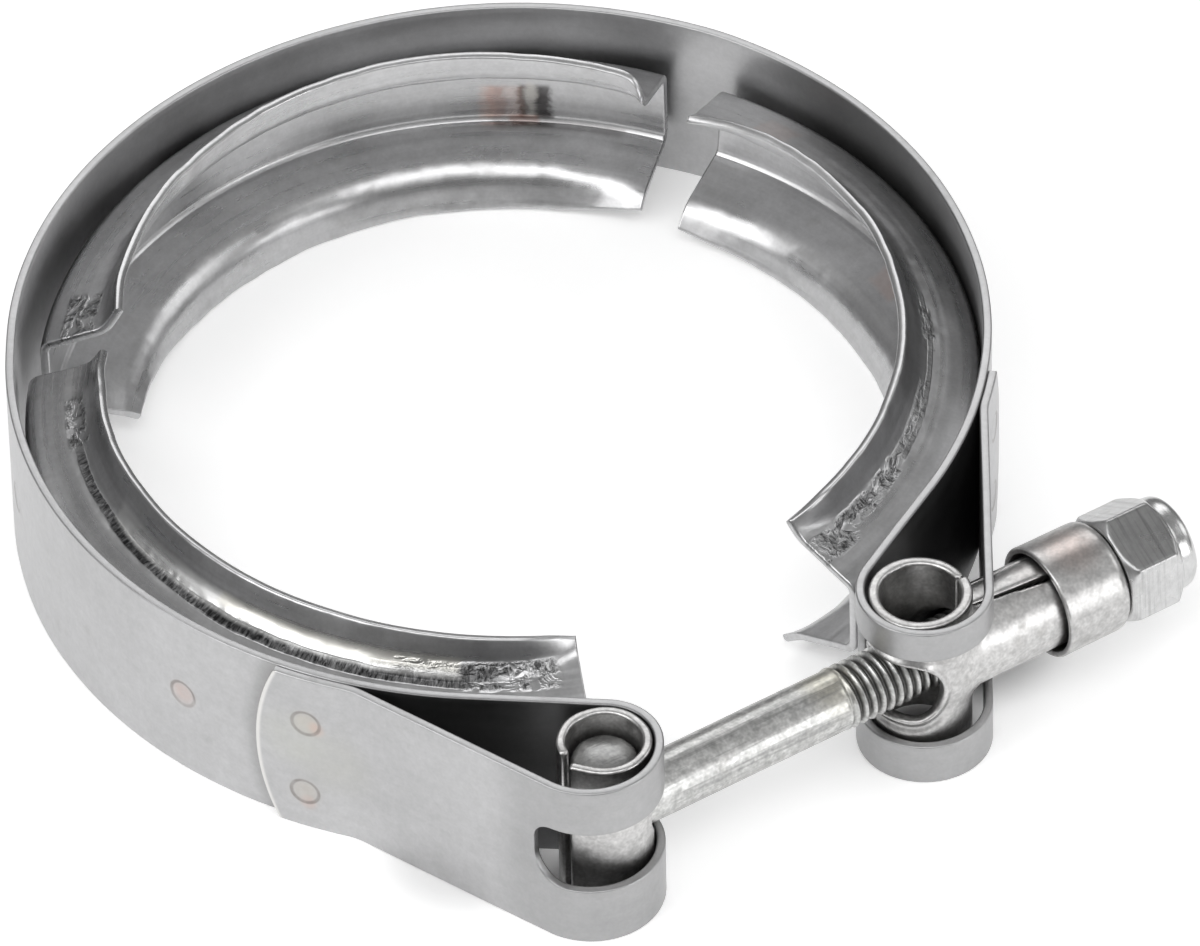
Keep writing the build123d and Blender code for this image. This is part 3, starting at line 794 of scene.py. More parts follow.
def nut_marks_and_shade(k, obj, uv, c):
    s, r, m = bolt_coords(k, obj)
    cut = k.noise(k.mapping(m, (2400, 60, 60)), 1.0, 4.0, 0.65)
    face = k.remap(r, 0.0060, 0.0064, 0.0, 1.0, True)
    c = k.mix(k.math("MULTIPLY", face, k.remap(cut, 0.45, 0.7, 0.0, 0.35, True)), c, (0.20, 0.20, 0.20, 1))
    # the flat facing up and to the front is painted darker, a painted dark reflection
    sp = k.node("ShaderNodeSeparateXYZ")
    k.link(m, sp.inputs[0])
    a = math.radians(26.0)
    h = k.math("ADD", k.math("MULTIPLY", sp.outputs["Y"], -math.sin(a)), k.math("MULTIPLY", sp.outputs["Z"], math.cos(a)))
    flat = k.remap(h, 0.00630, 0.00642, 0.0, 1.0, True)
    c = k.mix(k.math("MULTIPLY", flat, k.remap(cut, 0.35, 0.62, 0.62, 0.25)), c, (0.08, 0.08, 0.08, 1))
    return c, k.math("MULTIPLY", face, 0.05), k.math("MULTIPLY", cut, 0.5)


MAT_BOLT = steel("stainless_bolt", (0.60, 0.60, 0.59), 0.33, (60, 60), False, 0.3, 0.35, grain=0.45, pits=0.35, extra=bolt_marks_and_shade,
                 tint=[((*(PL + U * 31.3), ZB + 2.5), 5.0, (0.56, 0.53, 0.42), 0.55)])
MAT_SLEEVE = steel("stainless_trunnion", (0.57, 0.565, 0.56), 0.34, (60, 60), False, 0.3, 0.30, grain=0.32, pits=0.3, blotch=1.3,
                   tint=[((*(PL + U * 60.0), ZB + 3.0), 4.0, PINK, 0.16), ((*(PL + U * 49.0), ZB - 3.0), 4.0, (0.55, 0.56, 0.48), 0.35)])
MAT_CUP = steel("stainless_cup", (0.56, 0.555, 0.55), 0.36, (60, 60), False, 0.3, 0.30, grain=0.30, pits=0.3, blotch=1.3,
                tint=[((*(PL + U * 66.0), ZB + 6.0), 5.0, PINK, 0.35)])
MAT_NUT = steel("stainless_nut", (0.60, 0.60, 0.60), 0.22, (80, 80), False, 0.3, 0.2, grain=0.12, pits=0.35, extra=nut_marks_and_shade)

# ------------------------------------------------------------ the strap
bend_l = polar(CC, TAB_R + BEND_R, 250.3)
_, tl0, tl1 = tangent_line(bend_l, -BEND_R, LOOP_L_C, LOOP_L_M)
join = ang(LOOP_L_C, PL)
LOOP_L2_C = polar(LOOP_L_C, LOOP_L_M - LOOP_L2_M, join)
_, fl0, fl1 = tangent_line(LOOP_L2_C, LOOP_L2_M, CC, -R_MID)
_, fr0, fr1 = tangent_line(CB, -R_MID, LOOP_R_C, LOOP_R_M)
bend_r = polar(CB, TAB_R + BEND_R, -14.4)
_, tr0, tr1 = tangent_line(LOOP_R_C, LOOP_R_M, bend_r, -BEND_R)


def head(deg):
    return math.radians(deg - 90)


elements = [
    arc(CC, TAB_R, 242.3 - 2.6, 250.3, True),
    arc(bend_l, BEND_R, 250.3 - 180, ang(bend_l, tl0), False),
    ("L", tl0, tl1),
    arc(LOOP_L_C, LOOP_L_M, ang(LOOP_L_C, tl1), join, True),
    arc(LOOP_L2_C, LOOP_L2_M, join, ang(LOOP_L2_C, fl0), True),
    ("L", fl0, fl1),
    arc(CC, R_MID, ang(CC, fl1) % 360, 179.0, False),
    *biarc(polar(CC, R_MID, 179.0), head(179.0), polar(CA, R_MID, 172.0), head(172.0)),
    arc(CA, R_MID, 172.0, 120.0, False),
    arc(CA, R_MID, 120.0, 67.2, False),
    *biarc(polar(CA, R_MID, 67.2), head(67.2), polar(CB, R_MID, 59.6), head(59.6)),
    arc(CB, R_MID, 59.6, ang(CB, fr0), False),
    ("L", fr0, fr1),
    arc(LOOP_R_C, LOOP_R_M, ang(LOOP_R_C, fr1), ang(LOOP_R_C, tr0), True),
    ("L", tr0, tr1),
    arc(bend_r, BEND_R, ang(bend_r, tr1), 180 - 14.4, False),
    arc(CB, TAB_R, -14.4, -9.6 + 2.6, True),
]
STRAP = Path(elements)
S_CUT = float(STRAP.cum[10])
S_LOOP_L = float(STRAP.cum[3])       # left loop's arc starts
S_LOOP_L2 = float(STRAP.cum[4])
S_LOOP_R = float(STRAP.cum[15])
S_LOOP_R_END = float(STRAP.cum[16])


def s_of(element, deg):
    """Distance along the strap at an azimuth of one of its arcs."""
    _, c, r, a0, a1 = STRAP.e[element]
    for k in (-360, 0, 360, 720):
        d = deg + k
        if min(a0, a1) - 1e-6 <= d <= max(a0, a1) + 1e-6:
            return float(STRAP.cum[element] + r * math.radians(abs(d - a0)))
    raise RuntimeError("azimuth off the arc")


SAG, RTAB = 2.7, (W2 ** 2 + 2.7 ** 2) / (2 * 2.7)


def tab_s(z):
    return RTAB - np.sqrt(RTAB ** 2 - np.asarray(z) ** 2)


def slot_loop(s0, s1, z0, z1, r, flat=None):
    """Rounded slot in (s, z), clockwise so that the material lies on its left."""
    pts = round_corners([(s0, z0), (s0, z1), (s1, z1), (s1, z0)], [r[0], r[1], r[2], r[3]], 10)
    return resample(pts, 0.45)


def outline(s0, s1, left_tab, right_tab):
    zs = np.linspace(-W2, W2, 41)
    a, b = [], []
    if left_tab:
        r = tab_s(zs)
        a = np.stack([r, zs], -1)[::-1]
    else:
        a = np.stack([np.full(41, s0), zs], -1)[::-1]
    if right_tab:
        b = np.stack([STRAP.total - tab_s(zs), zs], -1)
    else:
        b = np.stack([np.full(41, s1), zs], -1)
    st = STRAP.stations(a[-1][0] + 0.4, b[0][0] - 0.4, 0.8, 0.4)
    bot = np.stack([st, np.full(len(st), -W2)], -1)
    st2 = STRAP.stations(a[0][0] + 0.4, b[-1][0] - 0.4, 0.8, 0.4)
    topl = np.stack([st2, np.full(len(st2), W2)], -1)[::-1]
    return np.concatenate([a, bot, b, topl])


# spot welds in (s, z, side): +1 marks the outer face of the ring, -1 the outer face of the tabs
WELDS = [
    (s_of(6, 229.05), 0.2, 1), (s_of(6, 190.5), 0.3, 1),
    (s_of(0, 246.0), 5.0, -1), (s_of(0, 245.6), -6.3, -1),
    (s_of(9, 158.0), -0.2, 1), (s_of(9, 124.5), 0.4, 1), (s_of(10, 86.0), 0.0, 1),
    (s_of(13, 47.0), 0.3, 1), (s_of(13, 8.0), -0.3, 1),
    (s_of(18, -11.6), 5.0, -1), (s_of(18, -11.9), -6.0, -1),
]


# tints at the welds: (weld, offset along and across in mm, radius, colour, amount)
WELD_TINTS = [(0, 0, 0, 2.5, PINK, 0.42), (2, 0, 0, 2.7, (0.56, 0.50, 0.42), 0.40), (3, 0, 0, 2.7, (0.56, 0.50, 0.42), 0.36),
              (2, 1.3, -0.6, 1.5, PINK, 0.55), (3, 0.4, -1.7, 1.5, PINK, 0.35), (2, 3.5, -5.5, 7.0, (0.53, 0.53, 0.48), 0.30),
              (2, -2.0, -3.0, 6.0, (0.56, 0.57, 0.51), 0.30)]


def strap_marks_and_shade(k, obj, uv, c):
    """Painted shade inside the two folds, on the inner wall at the right and outside both loops; weld rings and tints;
    painted shadow and highlight at the left tab's end.
    """
    sp = k.node("ShaderNodeSeparateXYZ")
    k.link(uv, sp.inputs[0])
    # painted shade: the ring's outer face inside each fold is darkened
    left = k.remap(sp.outputs["X"], (S_POCKET_L - 9) * MM, S_POCKET_L * MM, 1.0, 0.0, True)
    right = k.remap(sp.outputs["X"], S_POCKET_R * MM, (S_POCKET_R + 9) * MM, 0.0, 1.0, True)
    face = k.remap(side_of(k), 0.7, 0.98, 0.0, 1.0, True)
    m = k.math("MULTIPLY", face, k.math("MAXIMUM", left, right))
    c = k.mix(k.math("MULTIPLY", m, 0.62), c, (0.06, 0.06, 0.062, 1))
    # painted shade: the inner wall at the right is darker
    painted_wall_shade = box_mask(k, sp.outputs["X"], s_of(13, 42) * MM, s_of(13, 0) * MM, 0.014)
    painted_wall_shade = k.math("MULTIPLY", painted_wall_shade, k.remap(side_of(k), 0.02, 0.3, 1.0, 0.0, True))
    c = k.mix(k.math("MULTIPLY", painted_wall_shade, 0.60), c, (0.10, 0.10, 0.10, 1))
    # painted shade: the outside of both loops is darker
    loops = k.math("MAXIMUM", box_mask(k, sp.outputs["X"], (S_LOOP_L - 3) * MM, (S_LOOP_L2 + 8) * MM, 0.006),
                   box_mask(k, sp.outputs["X"], (S_LOOP_R + 2) * MM, (S_LOOP_R_END + 2) * MM, 0.006))
    loops = k.math("MULTIPLY", loops, k.remap(side_of(k), 0.02, 0.3, 1.0, 0.0, True))
    c = k.mix(k.math("MULTIPLY", loops, 0.30), c, (0.20, 0.20, 0.20, 1))
    # spot welds: a thin dark ring, tinted inside; they keep their place on the sheet as it bends
    faces = {1: k.remap(side_of(k), 0.7, 0.98, 0.0, 1.0, True), -1: k.remap(side_of(k), 0.02, 0.3, 1.0, 0.0, True)}
    uneven = k.noise(uv, 300.0, 3.0, 0.6)

    def from_weld(ws, wz):
        n = k.node("ShaderNodeVectorMath", operation="DISTANCE")
        k.link(uv, n.inputs[0])
        n.inputs[1].default_value = (ws * MM, wz * MM, 0)
        return n.outputs["Value"]
    for j, du, dv, radius, colour, amount in WELD_TINTS:
        ws, wz, sd = WELDS[j]
        f = k.remap(from_weld(ws + du, wz + dv), radius * 0.25 * MM, radius * MM, amount, 0.0, True)
        f = k.math("MULTIPLY", k.math("MULTIPLY", f, faces[sd]), k.remap(uneven, 0.3, 0.6, 0.6, 1.0))
        c = k.mix(f, c, (*colour, 1))
    for ws, wz, sd in WELDS:
        e = k.math("ABSOLUTE", k.math("SUBTRACT", from_weld(ws, wz), 1.75 * MM))
        f = k.math("MULTIPLY", k.remap(e, 0.10 * MM, 0.34 * MM, 0.66, 0.0, True), faces[sd])
        f = k.math("MULTIPLY", f, k.remap(uneven, 0.35, 0.6, 0.45, 1.0))
        c = k.mix(f, c, (0.20, 0.18, 0.17, 1))
    # beside the left tab's end the strap is darkened, a painted shadow together with a slight pressing burn; the end
    # itself is bright, a painted highlight
    bow = k.math("MULTIPLY", k.math("MULTIPLY", sp.outputs["Y"], sp.outputs["Y"]), 1 / (2 * RTAB * MM))
    out = k.remap(side_of(k), 0.7, 0.98, 0.0, 1.0, True)
    e = k.math("ADD", k.math("SUBTRACT", sp.outputs["X"], s_of(6, 239.7) * MM), bow)
    f = k.math("MULTIPLY", k.math("MULTIPLY", out, k.remap(e, 0.0, 0.0030, 0.42, 0.0, True)), k.remap(e, -0.0006, 0.0, 0.0, 1.0))
    c = k.mix(f, c, (0.16, 0.155, 0.15, 1))
    e = k.math("SUBTRACT", sp.outputs["X"], bow)
    f = k.math("MULTIPLY", k.remap(side_of(k), 0.02, 0.3, 1.0, 0.0, True), k.remap(e, 0.00035, 0.0008, 0.75, 0.0, True))
    c = k.mix(f, c, (0.80, 0.79, 0.77, 1))
    return c, None, None


S_POCKET_L, S_POCKET_R = s_of(6, 246.0), s_of(13, -6.0)
MAT_STRAP = steel(
    "stainless_strap", (0.515, 0.515, 0.52), 0.40, (14, 700), True, 0.25, 0.12, grain=0.08, extra=strap_marks_and_shade)


def strap_shape(s, z):
    # gentle unevenness from rolling, the same on both faces
    wav = 0.030 * vnoise(s / 17.0, z / 30.0, 3) + 0.012 * vnoise(s / 6.0, z / 11.0, 4)
    fade = smooth(0, 6, s) * smooth(0, 6, STRAP.total - s)
    l, r = wav * fade, wav * fade
    for ws, wz, side in WELDS:
        d = np.hypot(s - ws, z - wz)
        h = -0.13 * (1 - smooth(0.9, 1.75, d)) + 0.045 * bump(d - 2.0, 0.28)
        if side > 0:
            l = l + h
        else:
            r = r - h
    return l, r


def weld_points(s0, s1):
    out = []
    for ws, wz, side in WELDS:
        if not (s0 + 1 < ws < s1 - 1):
            continue
        out.append((ws, wz, ws, wz))
        for rad, cnt in ((0.45, 8), (0.9, 14), (1.3, 18), (1.6, 22), (1.85, 26), (2.1, 28), (2.4, 28)):
            for k in range(cnt):
                a = 2 * math.pi * (k + 0.5 * (cnt % 3)) / cnt
                out.append((ws + rad * math.cos(a), wz + rad * math.sin(a), ws, wz))
    return out


sl0 = S_LOOP_L - 1.9
sl1 = s_of(4, 76.0) + 3.6
left_slot = slot_loop(sl0, sl1, ZB - 4.6, ZB + 4.6, (4.3, 2.6, 4.3, 4.3))
sr0 = s_of(15, 168.0) - 0.5
sr1 = S_LOOP_R_END + 14.2
right_slot = slot_loop(sr0, sr1, ZB - 7.0, ZB + 7.0, (2.4, 2.4, 6.5, 6.5))

v, f, uv, sd = sheet(STRAP, [outline(0, S_CUT, True, False), left_slot], cuts=(S_CUT,), shape=strap_shape,
                 extra=weld_points(0, S_CUT))
band_left = clean(make("strap_left_half", v, f, [MAT_STRAP], uv, 50, sd))
v, f, uv, sd = sheet(STRAP, [outline(S_CUT, STRAP.total, False, True), right_slot], cuts=(S_CUT,), shape=strap_shape,
                 extra=weld_points(S_CUT, STRAP.total))
band_right = clean(make("strap_right_half", v, f, [MAT_STRAP], uv, 50, sd))

# ------------------------------------------------------------ the V segments
def keyed(keys, az, sigma=1.6):
    """Smooth curve through (azimuth, value) keys."""
    k = np.array(keys, float)
    fine = np.arange(k[0, 0] - 12, k[-1, 0] + 12, 0.25)
    # the ends go on in a straight line, so that smoothing leaves them alone
    v = np.interp(fine, k[:, 0], k[:, 1])
    lo_s = (k[1, 1] - k[0, 1]) / (k[1, 0] - k[0, 0])
    hi_s = (k[-1, 1] - k[-2, 1]) / (k[-1, 0] - k[-2, 0])
    v = np.where(fine < k[0, 0], k[0, 1] + lo_s * (fine - k[0, 0]), v)
    v = np.where(fine > k[-1, 0], k[-1, 1] + hi_s * (fine - k[-1, 0]), v)
    g = np.exp(-0.5 * (np.arange(-24, 25) * 0.25 / sigma) ** 2)
    g /= g.sum()
    w = np.convolve(np.pad(v, 24, mode="edge"), g, mode="valid")
    return np.interp(az, fine, w)


def open_round(pts, radii, fracs, seg=9):
    """Open polyline with rounded corners; every section gets the same number of points."""
    pts = [np.array(p, float) for p in pts]
    out, start = [], pts[0]
    for i in range(1, len(pts) - 1):
        p, c, q = pts[i - 1], pts[i], pts[i + 1]
        u, v = (p - c), (q - c)
        lu, lv = np.linalg.norm(u), np.linalg.norm(v)
        u, v = u / lu, v / lv
        half = math.acos(np.clip(u @ v, -1, 1)) / 2
        cut = min(radii[i - 1] / math.tan(half), 0.46 * lu, 0.46 * lv)
        a, b = c + u * cut, c + v * cut
        out += [start + (a - start) * f for f in fracs[i - 1]]
        m = math.sin(half)
        for j in range(seg):
            t = j / seg; w = 1 - t
            den = w * w + 2 * w * t * m + t * t
            out.append((w * w * a + 2 * w * t * m * c + t * t * b) / den)
        start = b
    out += [start + (pts[-1] - start) * f for f in fracs[-1]] + [pts[-1]]
    return np.array(out)


TIP_FR = [0.0, 0.02, 0.055, 0.11, 0.26, 0.44, 0.62, 0.8]
LEG_FR = [k / 8 for k in range(8)]
BASE_FR = [k / 6 for k in range(6)]
TIP_FR_UP = [0.0] + [1 - f for f in TIP_FR[:0:-1]]


def segment(name, mat, c, lo, hi, base, up, low, skew, seed, step=0.28):
    """One V segment, its section given along its length.
    base: keys of the floor's outer radius. up, low: keys (azimuth, root depth, root z, tip depth, tip z) of the two legs,
    depths under the floor. skew: how far the lower and upper tips run past each end, in degrees."""
    n = int(round((hi - lo) / step))
    az = np.linspace(lo, hi, n + 1)
    az = np.concatenate([[lo, lo + 0.10, lo + 0.22], az[1:-1], [hi - 0.22, hi - 0.10, hi]])
    t_half = np.full(len(az), T / 2)
    t_half[[0, -1]] -= 0.17
    t_half[[1, -2]] -= 0.035
    rb = keyed(base, az, 3.0) - T / 2
    cols = [[keyed([(k[0], k[m]) for k in side], az, 0.9) for m in range(1, 5)] for side in (up, low)]
    verts, uvs, sides = [], [], []
    tt = (az - lo) / (hi - lo)
    for i, a in enumerate(az):
        (urd, urz, utd, utz), (lrd, lrz, ltd, ltz) = [[col[i] for col in side] for side in cols]
        r0 = rb[i]
        wob = 0.10 * float(vnoise(a / 8.0, 0.3, seed)) + 0.05 * float(vnoise(a / 2.5, 0.7, seed + 1))
        wob2 = 0.10 * float(vnoise(a / 8.0, 5.3, seed)) + 0.05 * float(vnoise(a / 2.5, 4.7, seed + 1))
        pts = [(r0 - ltd + wob2, -ltz + wob2), (r0 - lrd, -lrz), (r0, -4.95), (r0, 4.95), (r0 - urd, urz),
               (r0 - utd + wob, utz + wob)]
        sec = open_round(pts, [4.3, 1.5, 1.5, 4.3], [TIP_FR, LEG_FR, BASE_FR, LEG_FR, TIP_FR_UP])
        M = len(sec)
        d = np.gradient(sec, axis=0)
        d /= np.linalg.norm(d, axis=1)[:, None]
        nrm = np.stack([d[:, 1], -d[:, 0]], -1)      # towards larger radius: the outer face
        arcl = np.concatenate([[0], np.cumsum(np.linalg.norm(np.diff(sec, axis=0), axis=1))])
        e = np.minimum(arcl, arcl[-1] - arcl)
        # arc length counted from the middle of the floor
        mid = np.interp(0.0, sec[:, 1], arcl)
        v = arcl - mid
        u = np.full(M, math.radians(a) * 55)
        th = np.full(M, t_half[i])
        th = np.where(e < 0.26, th * np.sqrt(np.clip(1 - ((0.26 - e) / 0.26) ** 2 * 0.5, 0, 1)), th)
        # unevenness of the pressed legs, and drag ridges along the root of the upper lip
        dis = 0.045 * vnoise(u / 4.5, v / 3.5, seed + 7) + 0.018 * vnoise(u / 1.4, v / 1.2, seed + 9)
        leg = smooth(6.5, 9.0, abs(v)) * (1 - smooth(16.2, 17.2, abs(v)))
        env = keyed(WRINKLE[name], np.array([a]), 1.0)[0]
        band_ = smooth(9.9, 10.5, v) * (1 - smooth(11.3, 12.3, v))
        wr = (0.06 * vnoise((u + 0.5 * v) / 0.62, v / 1.7, seed + 21) + 0.06 * vnoise((u + 0.4 * v) / 1.15, v / 1.3, seed + 22) - 0.05) * band_ * env
        bead = 0.07 * bump(v + 6.0, 0.22) - 0.05 * bump(v + 5.5, 0.25)
        outer = sec + nrm * (th + dis * leg + wr)[:, None]
        inner = sec - nrm * (th - dis * leg + bead)[:, None]
        ringp = np.concatenate([outer, inner[::-1]])
        vv = np.concatenate([v, v[::-1]])
        s_lo, s_hi = skew
        off = np.interp(vv, [-16, -6, 6, 16], [s_lo[0], s_lo[1], s_lo[2], s_lo[3]]) * (1 - tt[i]) ** 6 + \
            np.interp(vv, [-16, -6, 6, 16], [s_hi[0], s_hi[1], s_hi[2], s_hi[3]]) * tt[i] ** 6
        A = np.radians(a + off)
        verts.append(np.stack([c[0] + ringp[:, 0] * np.cos(A), c[1] + ringp[:, 0] * np.sin(A), ringp[:, 1]], -1))
        uvs.append(np.stack([np.concatenate([u, u]), vv], -1))
        sides.append(np.concatenate([np.ones(M), np.zeros(M)]))
    K = 2 * M
    F = []
    for i in range(len(az) - 1):
        for j in range(K):
            q = (j + 1) % K
            F.append((i * K + j, (i + 1) * K + j, (i + 1) * K + q, i * K + q))
    for i, flip in ((0, False), (len(az) - 1, True)):
        for j in range(M - 1):
            q = (i * K + j, i * K + j + 1, i * K + K - 2 - j, i * K + K - 1 - j)
            F.append(q[::-1] if flip else q)
    o = make(name, np.concatenate(verts), F, [mat], np.concatenate(uvs) * MM, 42, np.concatenate(sides))
    return clean(o)


# where along each segment the drag ridges are deep: (azimuth, amount)
WRINKLE = {
    "segment_rear_pressed": [(69.4, 0), (72, 0.0), (90, 0.1), (150, 0.1), (162, 0.2), (167, 1.4), (170.5, 1.0), (172.3, 0)],
    "segment_right_pressed": [(-43.4, 0.2), (-42, 1.0), (-38, 1.2), (-36, 0.5), (-32, 1.5), (-27, 1.1), (-22, 0.5), (-5, 0.35), (3, 0.6), (8, 0.3),
                              (20, 0.2), (59, 0.1)],
    "segment_front_pressed": [(175.5, 0.1), (182, 0.2), (185, 1.4), (189, 1.4), (191, 0.6), (195, 1.0), (230, 1.0), (262, 1.3), (266, 0.8), (269, 1.4),
                              (273, 1.4), (275, 0.2), (278.3, 0)],
}
NORMAL = (7.4, 7.45, 9.15, 12.0)
seg_rear = segment(
    "segment_rear_pressed", MAT_SEG_A, CA, 69.4, 172.3,
    [(69.4, 58.0), (80, 58.5), (95, 59.1), (110, 59.33), (125, 59.0), (140, 58.4), (155, 57.8), (172.3, 57.35)],
    [(69.4, 8.1, 7.5, 9.3, 9.2), (70.2, 7.8, 7.6, 8.9, 10.8), (71.2, 7.4, 7.6, 8.4, 11.7), (74, 6.9, 7.5, 8.2, 11.9), (85, 6.6, 7.3, 7.7, 12.0),
     (95, 6.5, 7.2, 7.3, 12.05), (110, 6.5, 7.2, 7.2, 12.05), (125, 6.5, 7.2, 7.25, 12.05), (135, 6.6, 7.3, 7.4, 12.0), (145, 6.7, 7.4, 7.8, 12.0),
     (155, 7.0, 7.7, 8.2, 12.0), (165, 7.4, 8.0, 8.8, 12.0), (172.3, 7.6, 8.3, 9.5, 12.0)],
    [(69.4, 8.3, 7.6, 9.7, 8.9), (75, 7.6, 7.5, 9.4, 10.4), (82, 7.4, 7.45, 9.2, 11.5), (95, *NORMAL), (130, *NORMAL), (145, 7.6, 7.5, 9.3, 11.4),
     (158, 8.0, 7.7, 9.8, 10.3), (168, 8.6, 8.0, 10.3, 9.2), (172.3, 9.0, 8.1, 10.5, 8.9)],
    ((0, 0, 0, -0.4), (-4.4, -0.8, 0, 0)), 11)
seg_right = segment(
    "segment_right_pressed", MAT_SEG_B, CB, -43.4, 59.0,
    [(-43.4, 58.7), (-20, 59.2), (3, 59.33), (20, 59.2), (40, 58.7), (59, 58.0)],
    [(-43.4, 8.6, 8.0, 10.2, 9.8), (-40.5, 7.9, 7.8, 9.3, 11.0), (-37.5, 7.4, 7.5, 8.9, 11.9), (-25, 7.3, 7.45, 9.0, 12.0), (0, *NORMAL),
     (20, 7.4, 7.45, 9.0, 12.0), (35, 7.5, 7.5, 9.5, 11.9), (45, 7.7, 7.6, 9.8, 11.3), (53, 8.0, 7.7, 10.1, 10.2), (59, 8.4, 7.8, 10.3, 9.1)],
    [(-43.4, 8.6, 8.2, 10.9, 9.9), (-40, 8.0, 7.9, 10.2, 10.9), (-36, 7.5, 7.5, 9.4, 11.9), (-20, *NORMAL), (30, *NORMAL), (45, 7.5, 7.5, 9.4, 11.6),
     (54, 7.9, 7.6, 9.8, 10.8), (59, 8.2, 7.7, 10.0, 10.0)],
    ((0, 0, 0, 0), (1.0, 0.8, 0, -1.0)), 23)
seg_front = segment(
    "segment_front_pressed", MAT_SEG_C, CC, 175.5, 278.3,
    [(175.5, 58.25), (195, 58.9), (215, 59.25), (231, 59.33), (250, 59.2), (265, 58.9), (278.3, 58.5)],
    [(175.5, 7.2, 7.5, 8.9, 10.2), (180, 7.3, 7.5, 8.9, 11.2), (186, 7.3, 7.5, 9.0, 11.8), (192, 7.0, 7.5, 8.9, 12.0), (200, 7.1, 7.45, 8.9, 12.0),
     (220, *NORMAL), (245, *NORMAL), (258, 7.2, 7.45, 8.7, 12.05), (266, 7.1, 7.5, 8.4, 12.0), (271, 7.2, 7.6, 8.5, 11.7), (275, 7.9, 7.9, 9.2, 10.8),
     (278.3, 8.4, 8.2, 9.9, 9.7)],
    [(175.5, 7.6, 7.5, 9.4, 10.0), (185, 7.4, 7.45, 9.2, 11.4), (200, *NORMAL), (255, *NORMAL), (268, 7.5, 7.5, 9.3, 11.4), (278.3, 8.4, 7.9, 10.2, 9.8)],
    ((0, 0, 0, 0), (0, 0, 0, 0)), 37)

# ------------------------------------------------------------ bolt
THREAD_START, BOLT_END = 32.3, 79.8
PITCH = 1.25


def bolt_mesh():
    n = 72
    s_shank = np.concatenate([[0.0, 2.0], np.linspace(4.0, 31.7, 30), [32.0]])
    s_thr = np.arange(THREAD_START, BOLT_END - 0.02, 0.11)
    s_all = np.concatenate([s_shank, s_thr, [BOLT_END - 0.02, BOLT_END]])
    th = np.linspace(0, 2 * np.pi, n, endpoint=False)
    S, TH = np.meshgrid(s_all, th, indexing="ij")
    R = np.full(S.shape, 3.8)
    # thread: rounded V, 0.62 mm deep, fading in and chamfered at the end
    ph = (S / PITCH + TH / (2 * np.pi)) % 1.0
    tri = abs(ph * 2 - 1)
    crest = np.clip((tri - 0.16) / 0.70, 0, 1)
    depth = 0.70 * smooth(THREAD_START - 0.1, THREAD_START + 1.3, S)
    Rt = 3.96 - depth * crest
    m = S >= THREAD_START - 1e-6
    ramp = smooth(THREAD_START - 0.1, THREAD_START + 0.5, S)
    R = np.where(m, 3.8 * (1 - ramp) + Rt * ramp, R)
    cham = BOLT_END - 1.0
    R = np.where(S > cham, np.minimum(R, 3.95 - (S - cham) * 0.85), R)
    R = R + 0.012 * vnoise(S / 3.0, TH * 2, 51) * (1 - ramp)
    V = from_bolt(S, R * np.sin(TH), R * np.cos(TH)).reshape(-1, 3)
    F = []
    K = len(s_all)
    for i in range(K - 1):
        for a in range(n):
            b = (a + 1) % n
            F.append((i * n + a, i * n + b, (i + 1) * n + b, (i + 1) * n + a))
    c0, c1 = len(V), len(V) + 1
    V = np.concatenate([V, from_bolt(np.array([0.0, BOLT_END + 0.05]), np.zeros(2), np.zeros(2))])
    for a in range(n):
        b = (a + 1) % n
        F.append((c0, b, a))
        F.append((c1, (K - 1) * n + a, (K - 1) * n + b))
    return V, F


def head_mesh():
    top, bot, r, dome = 9.35, -7.95, 4.05, 0.85
    prof = [(0.0, bot - dome), (1.2, bot - dome + 0.07), (2.2, bot - dome + 0.25), (3.0, bot - dome + 0.52), (3.55, bot - 0.05),
            (3.86, bot + 0.28), (4.02, bot + 0.75), (r, bot + 1.4)]
    prof += [(r, z) for z in np.linspace(bot + 2.4, top - 2.4, 8)]
    prof += [(r, top - 1.4), (4.02, top - 0.75), (3.86, top - 0.28), (3.55, top + 0.05), (3.0, top + dome - 0.52),
             (2.2, top + dome - 0.25), (1.2, top + dome - 0.07), (0.0, top + dome)]
    n = 64
    V, F = [], []
    th = np.linspace(0, 2 * np.pi, n, endpoint=False)
    rings = prof[1:-1]
    for (rr_, z) in rings:
        dent = 0.05 * vnoise(np.cos(th) * rr_ / 1.3, np.sin(th) * rr_ / 1.3, 71) if abs(z) > 8 else np.zeros(n)
        V.append(np.stack([PL[0] + rr_ * np.cos(th), PL[1] + rr_ * np.sin(th), np.full(n, z) + dent], -1))
    V = np.concatenate(V)
    for i in range(len(rings) - 1):
        for a in range(n):
            b = (a + 1) % n
            F.append((i * n + a, i * n + b, (i + 1) * n + b, (i + 1) * n + a))
    c0 = len(V)
    V = np.concatenate([V, [[PL[0], PL[1], prof[0][1]], [PL[0], PL[1], prof[-1][1]]]])
    for a in range(n):
        b = (a + 1) % n
        F.append((c0, b, a))
        F.append((c0 + 1, (len(rings) - 1) * n + a, (len(rings) - 1) * n + b))
    return V, F


def union(a, b, name):
    m = a.modifiers.new("u", "BOOLEAN")
    m.operation, m.solver, m.object = "UNION", "EXACT", b
    dg = bpy.context.evaluated_depsgraph_get()
    me = bpy.data.meshes.new_from_object(a.evaluated_get(dg))
    mats = list(a.data.materials)
    o = bpy.data.objects.new(name, me)
    bpy.context.scene.collection.objects.link(o)
    me.materials.clear()
    for x in mats:
        me.materials.append(x)
    for x in (a, b):
        bpy.data.objects.remove(x)
    for p in me.polygons:
        p.use_smooth = True
        p.material_index = 0
    me.set_sharp_from_angle(angle=math.radians(60))
    return o


V, F = bolt_mesh()
rod = make("rod_tmp", V, F, [MAT_BOLT], None, 0)
V, F = head_mesh()
cross = make("head_tmp", V, F, [MAT_BOLT], None, 0)
clean(rod); clean(cross)
t_bolt = union(rod, cross, "t_bolt_threaded")

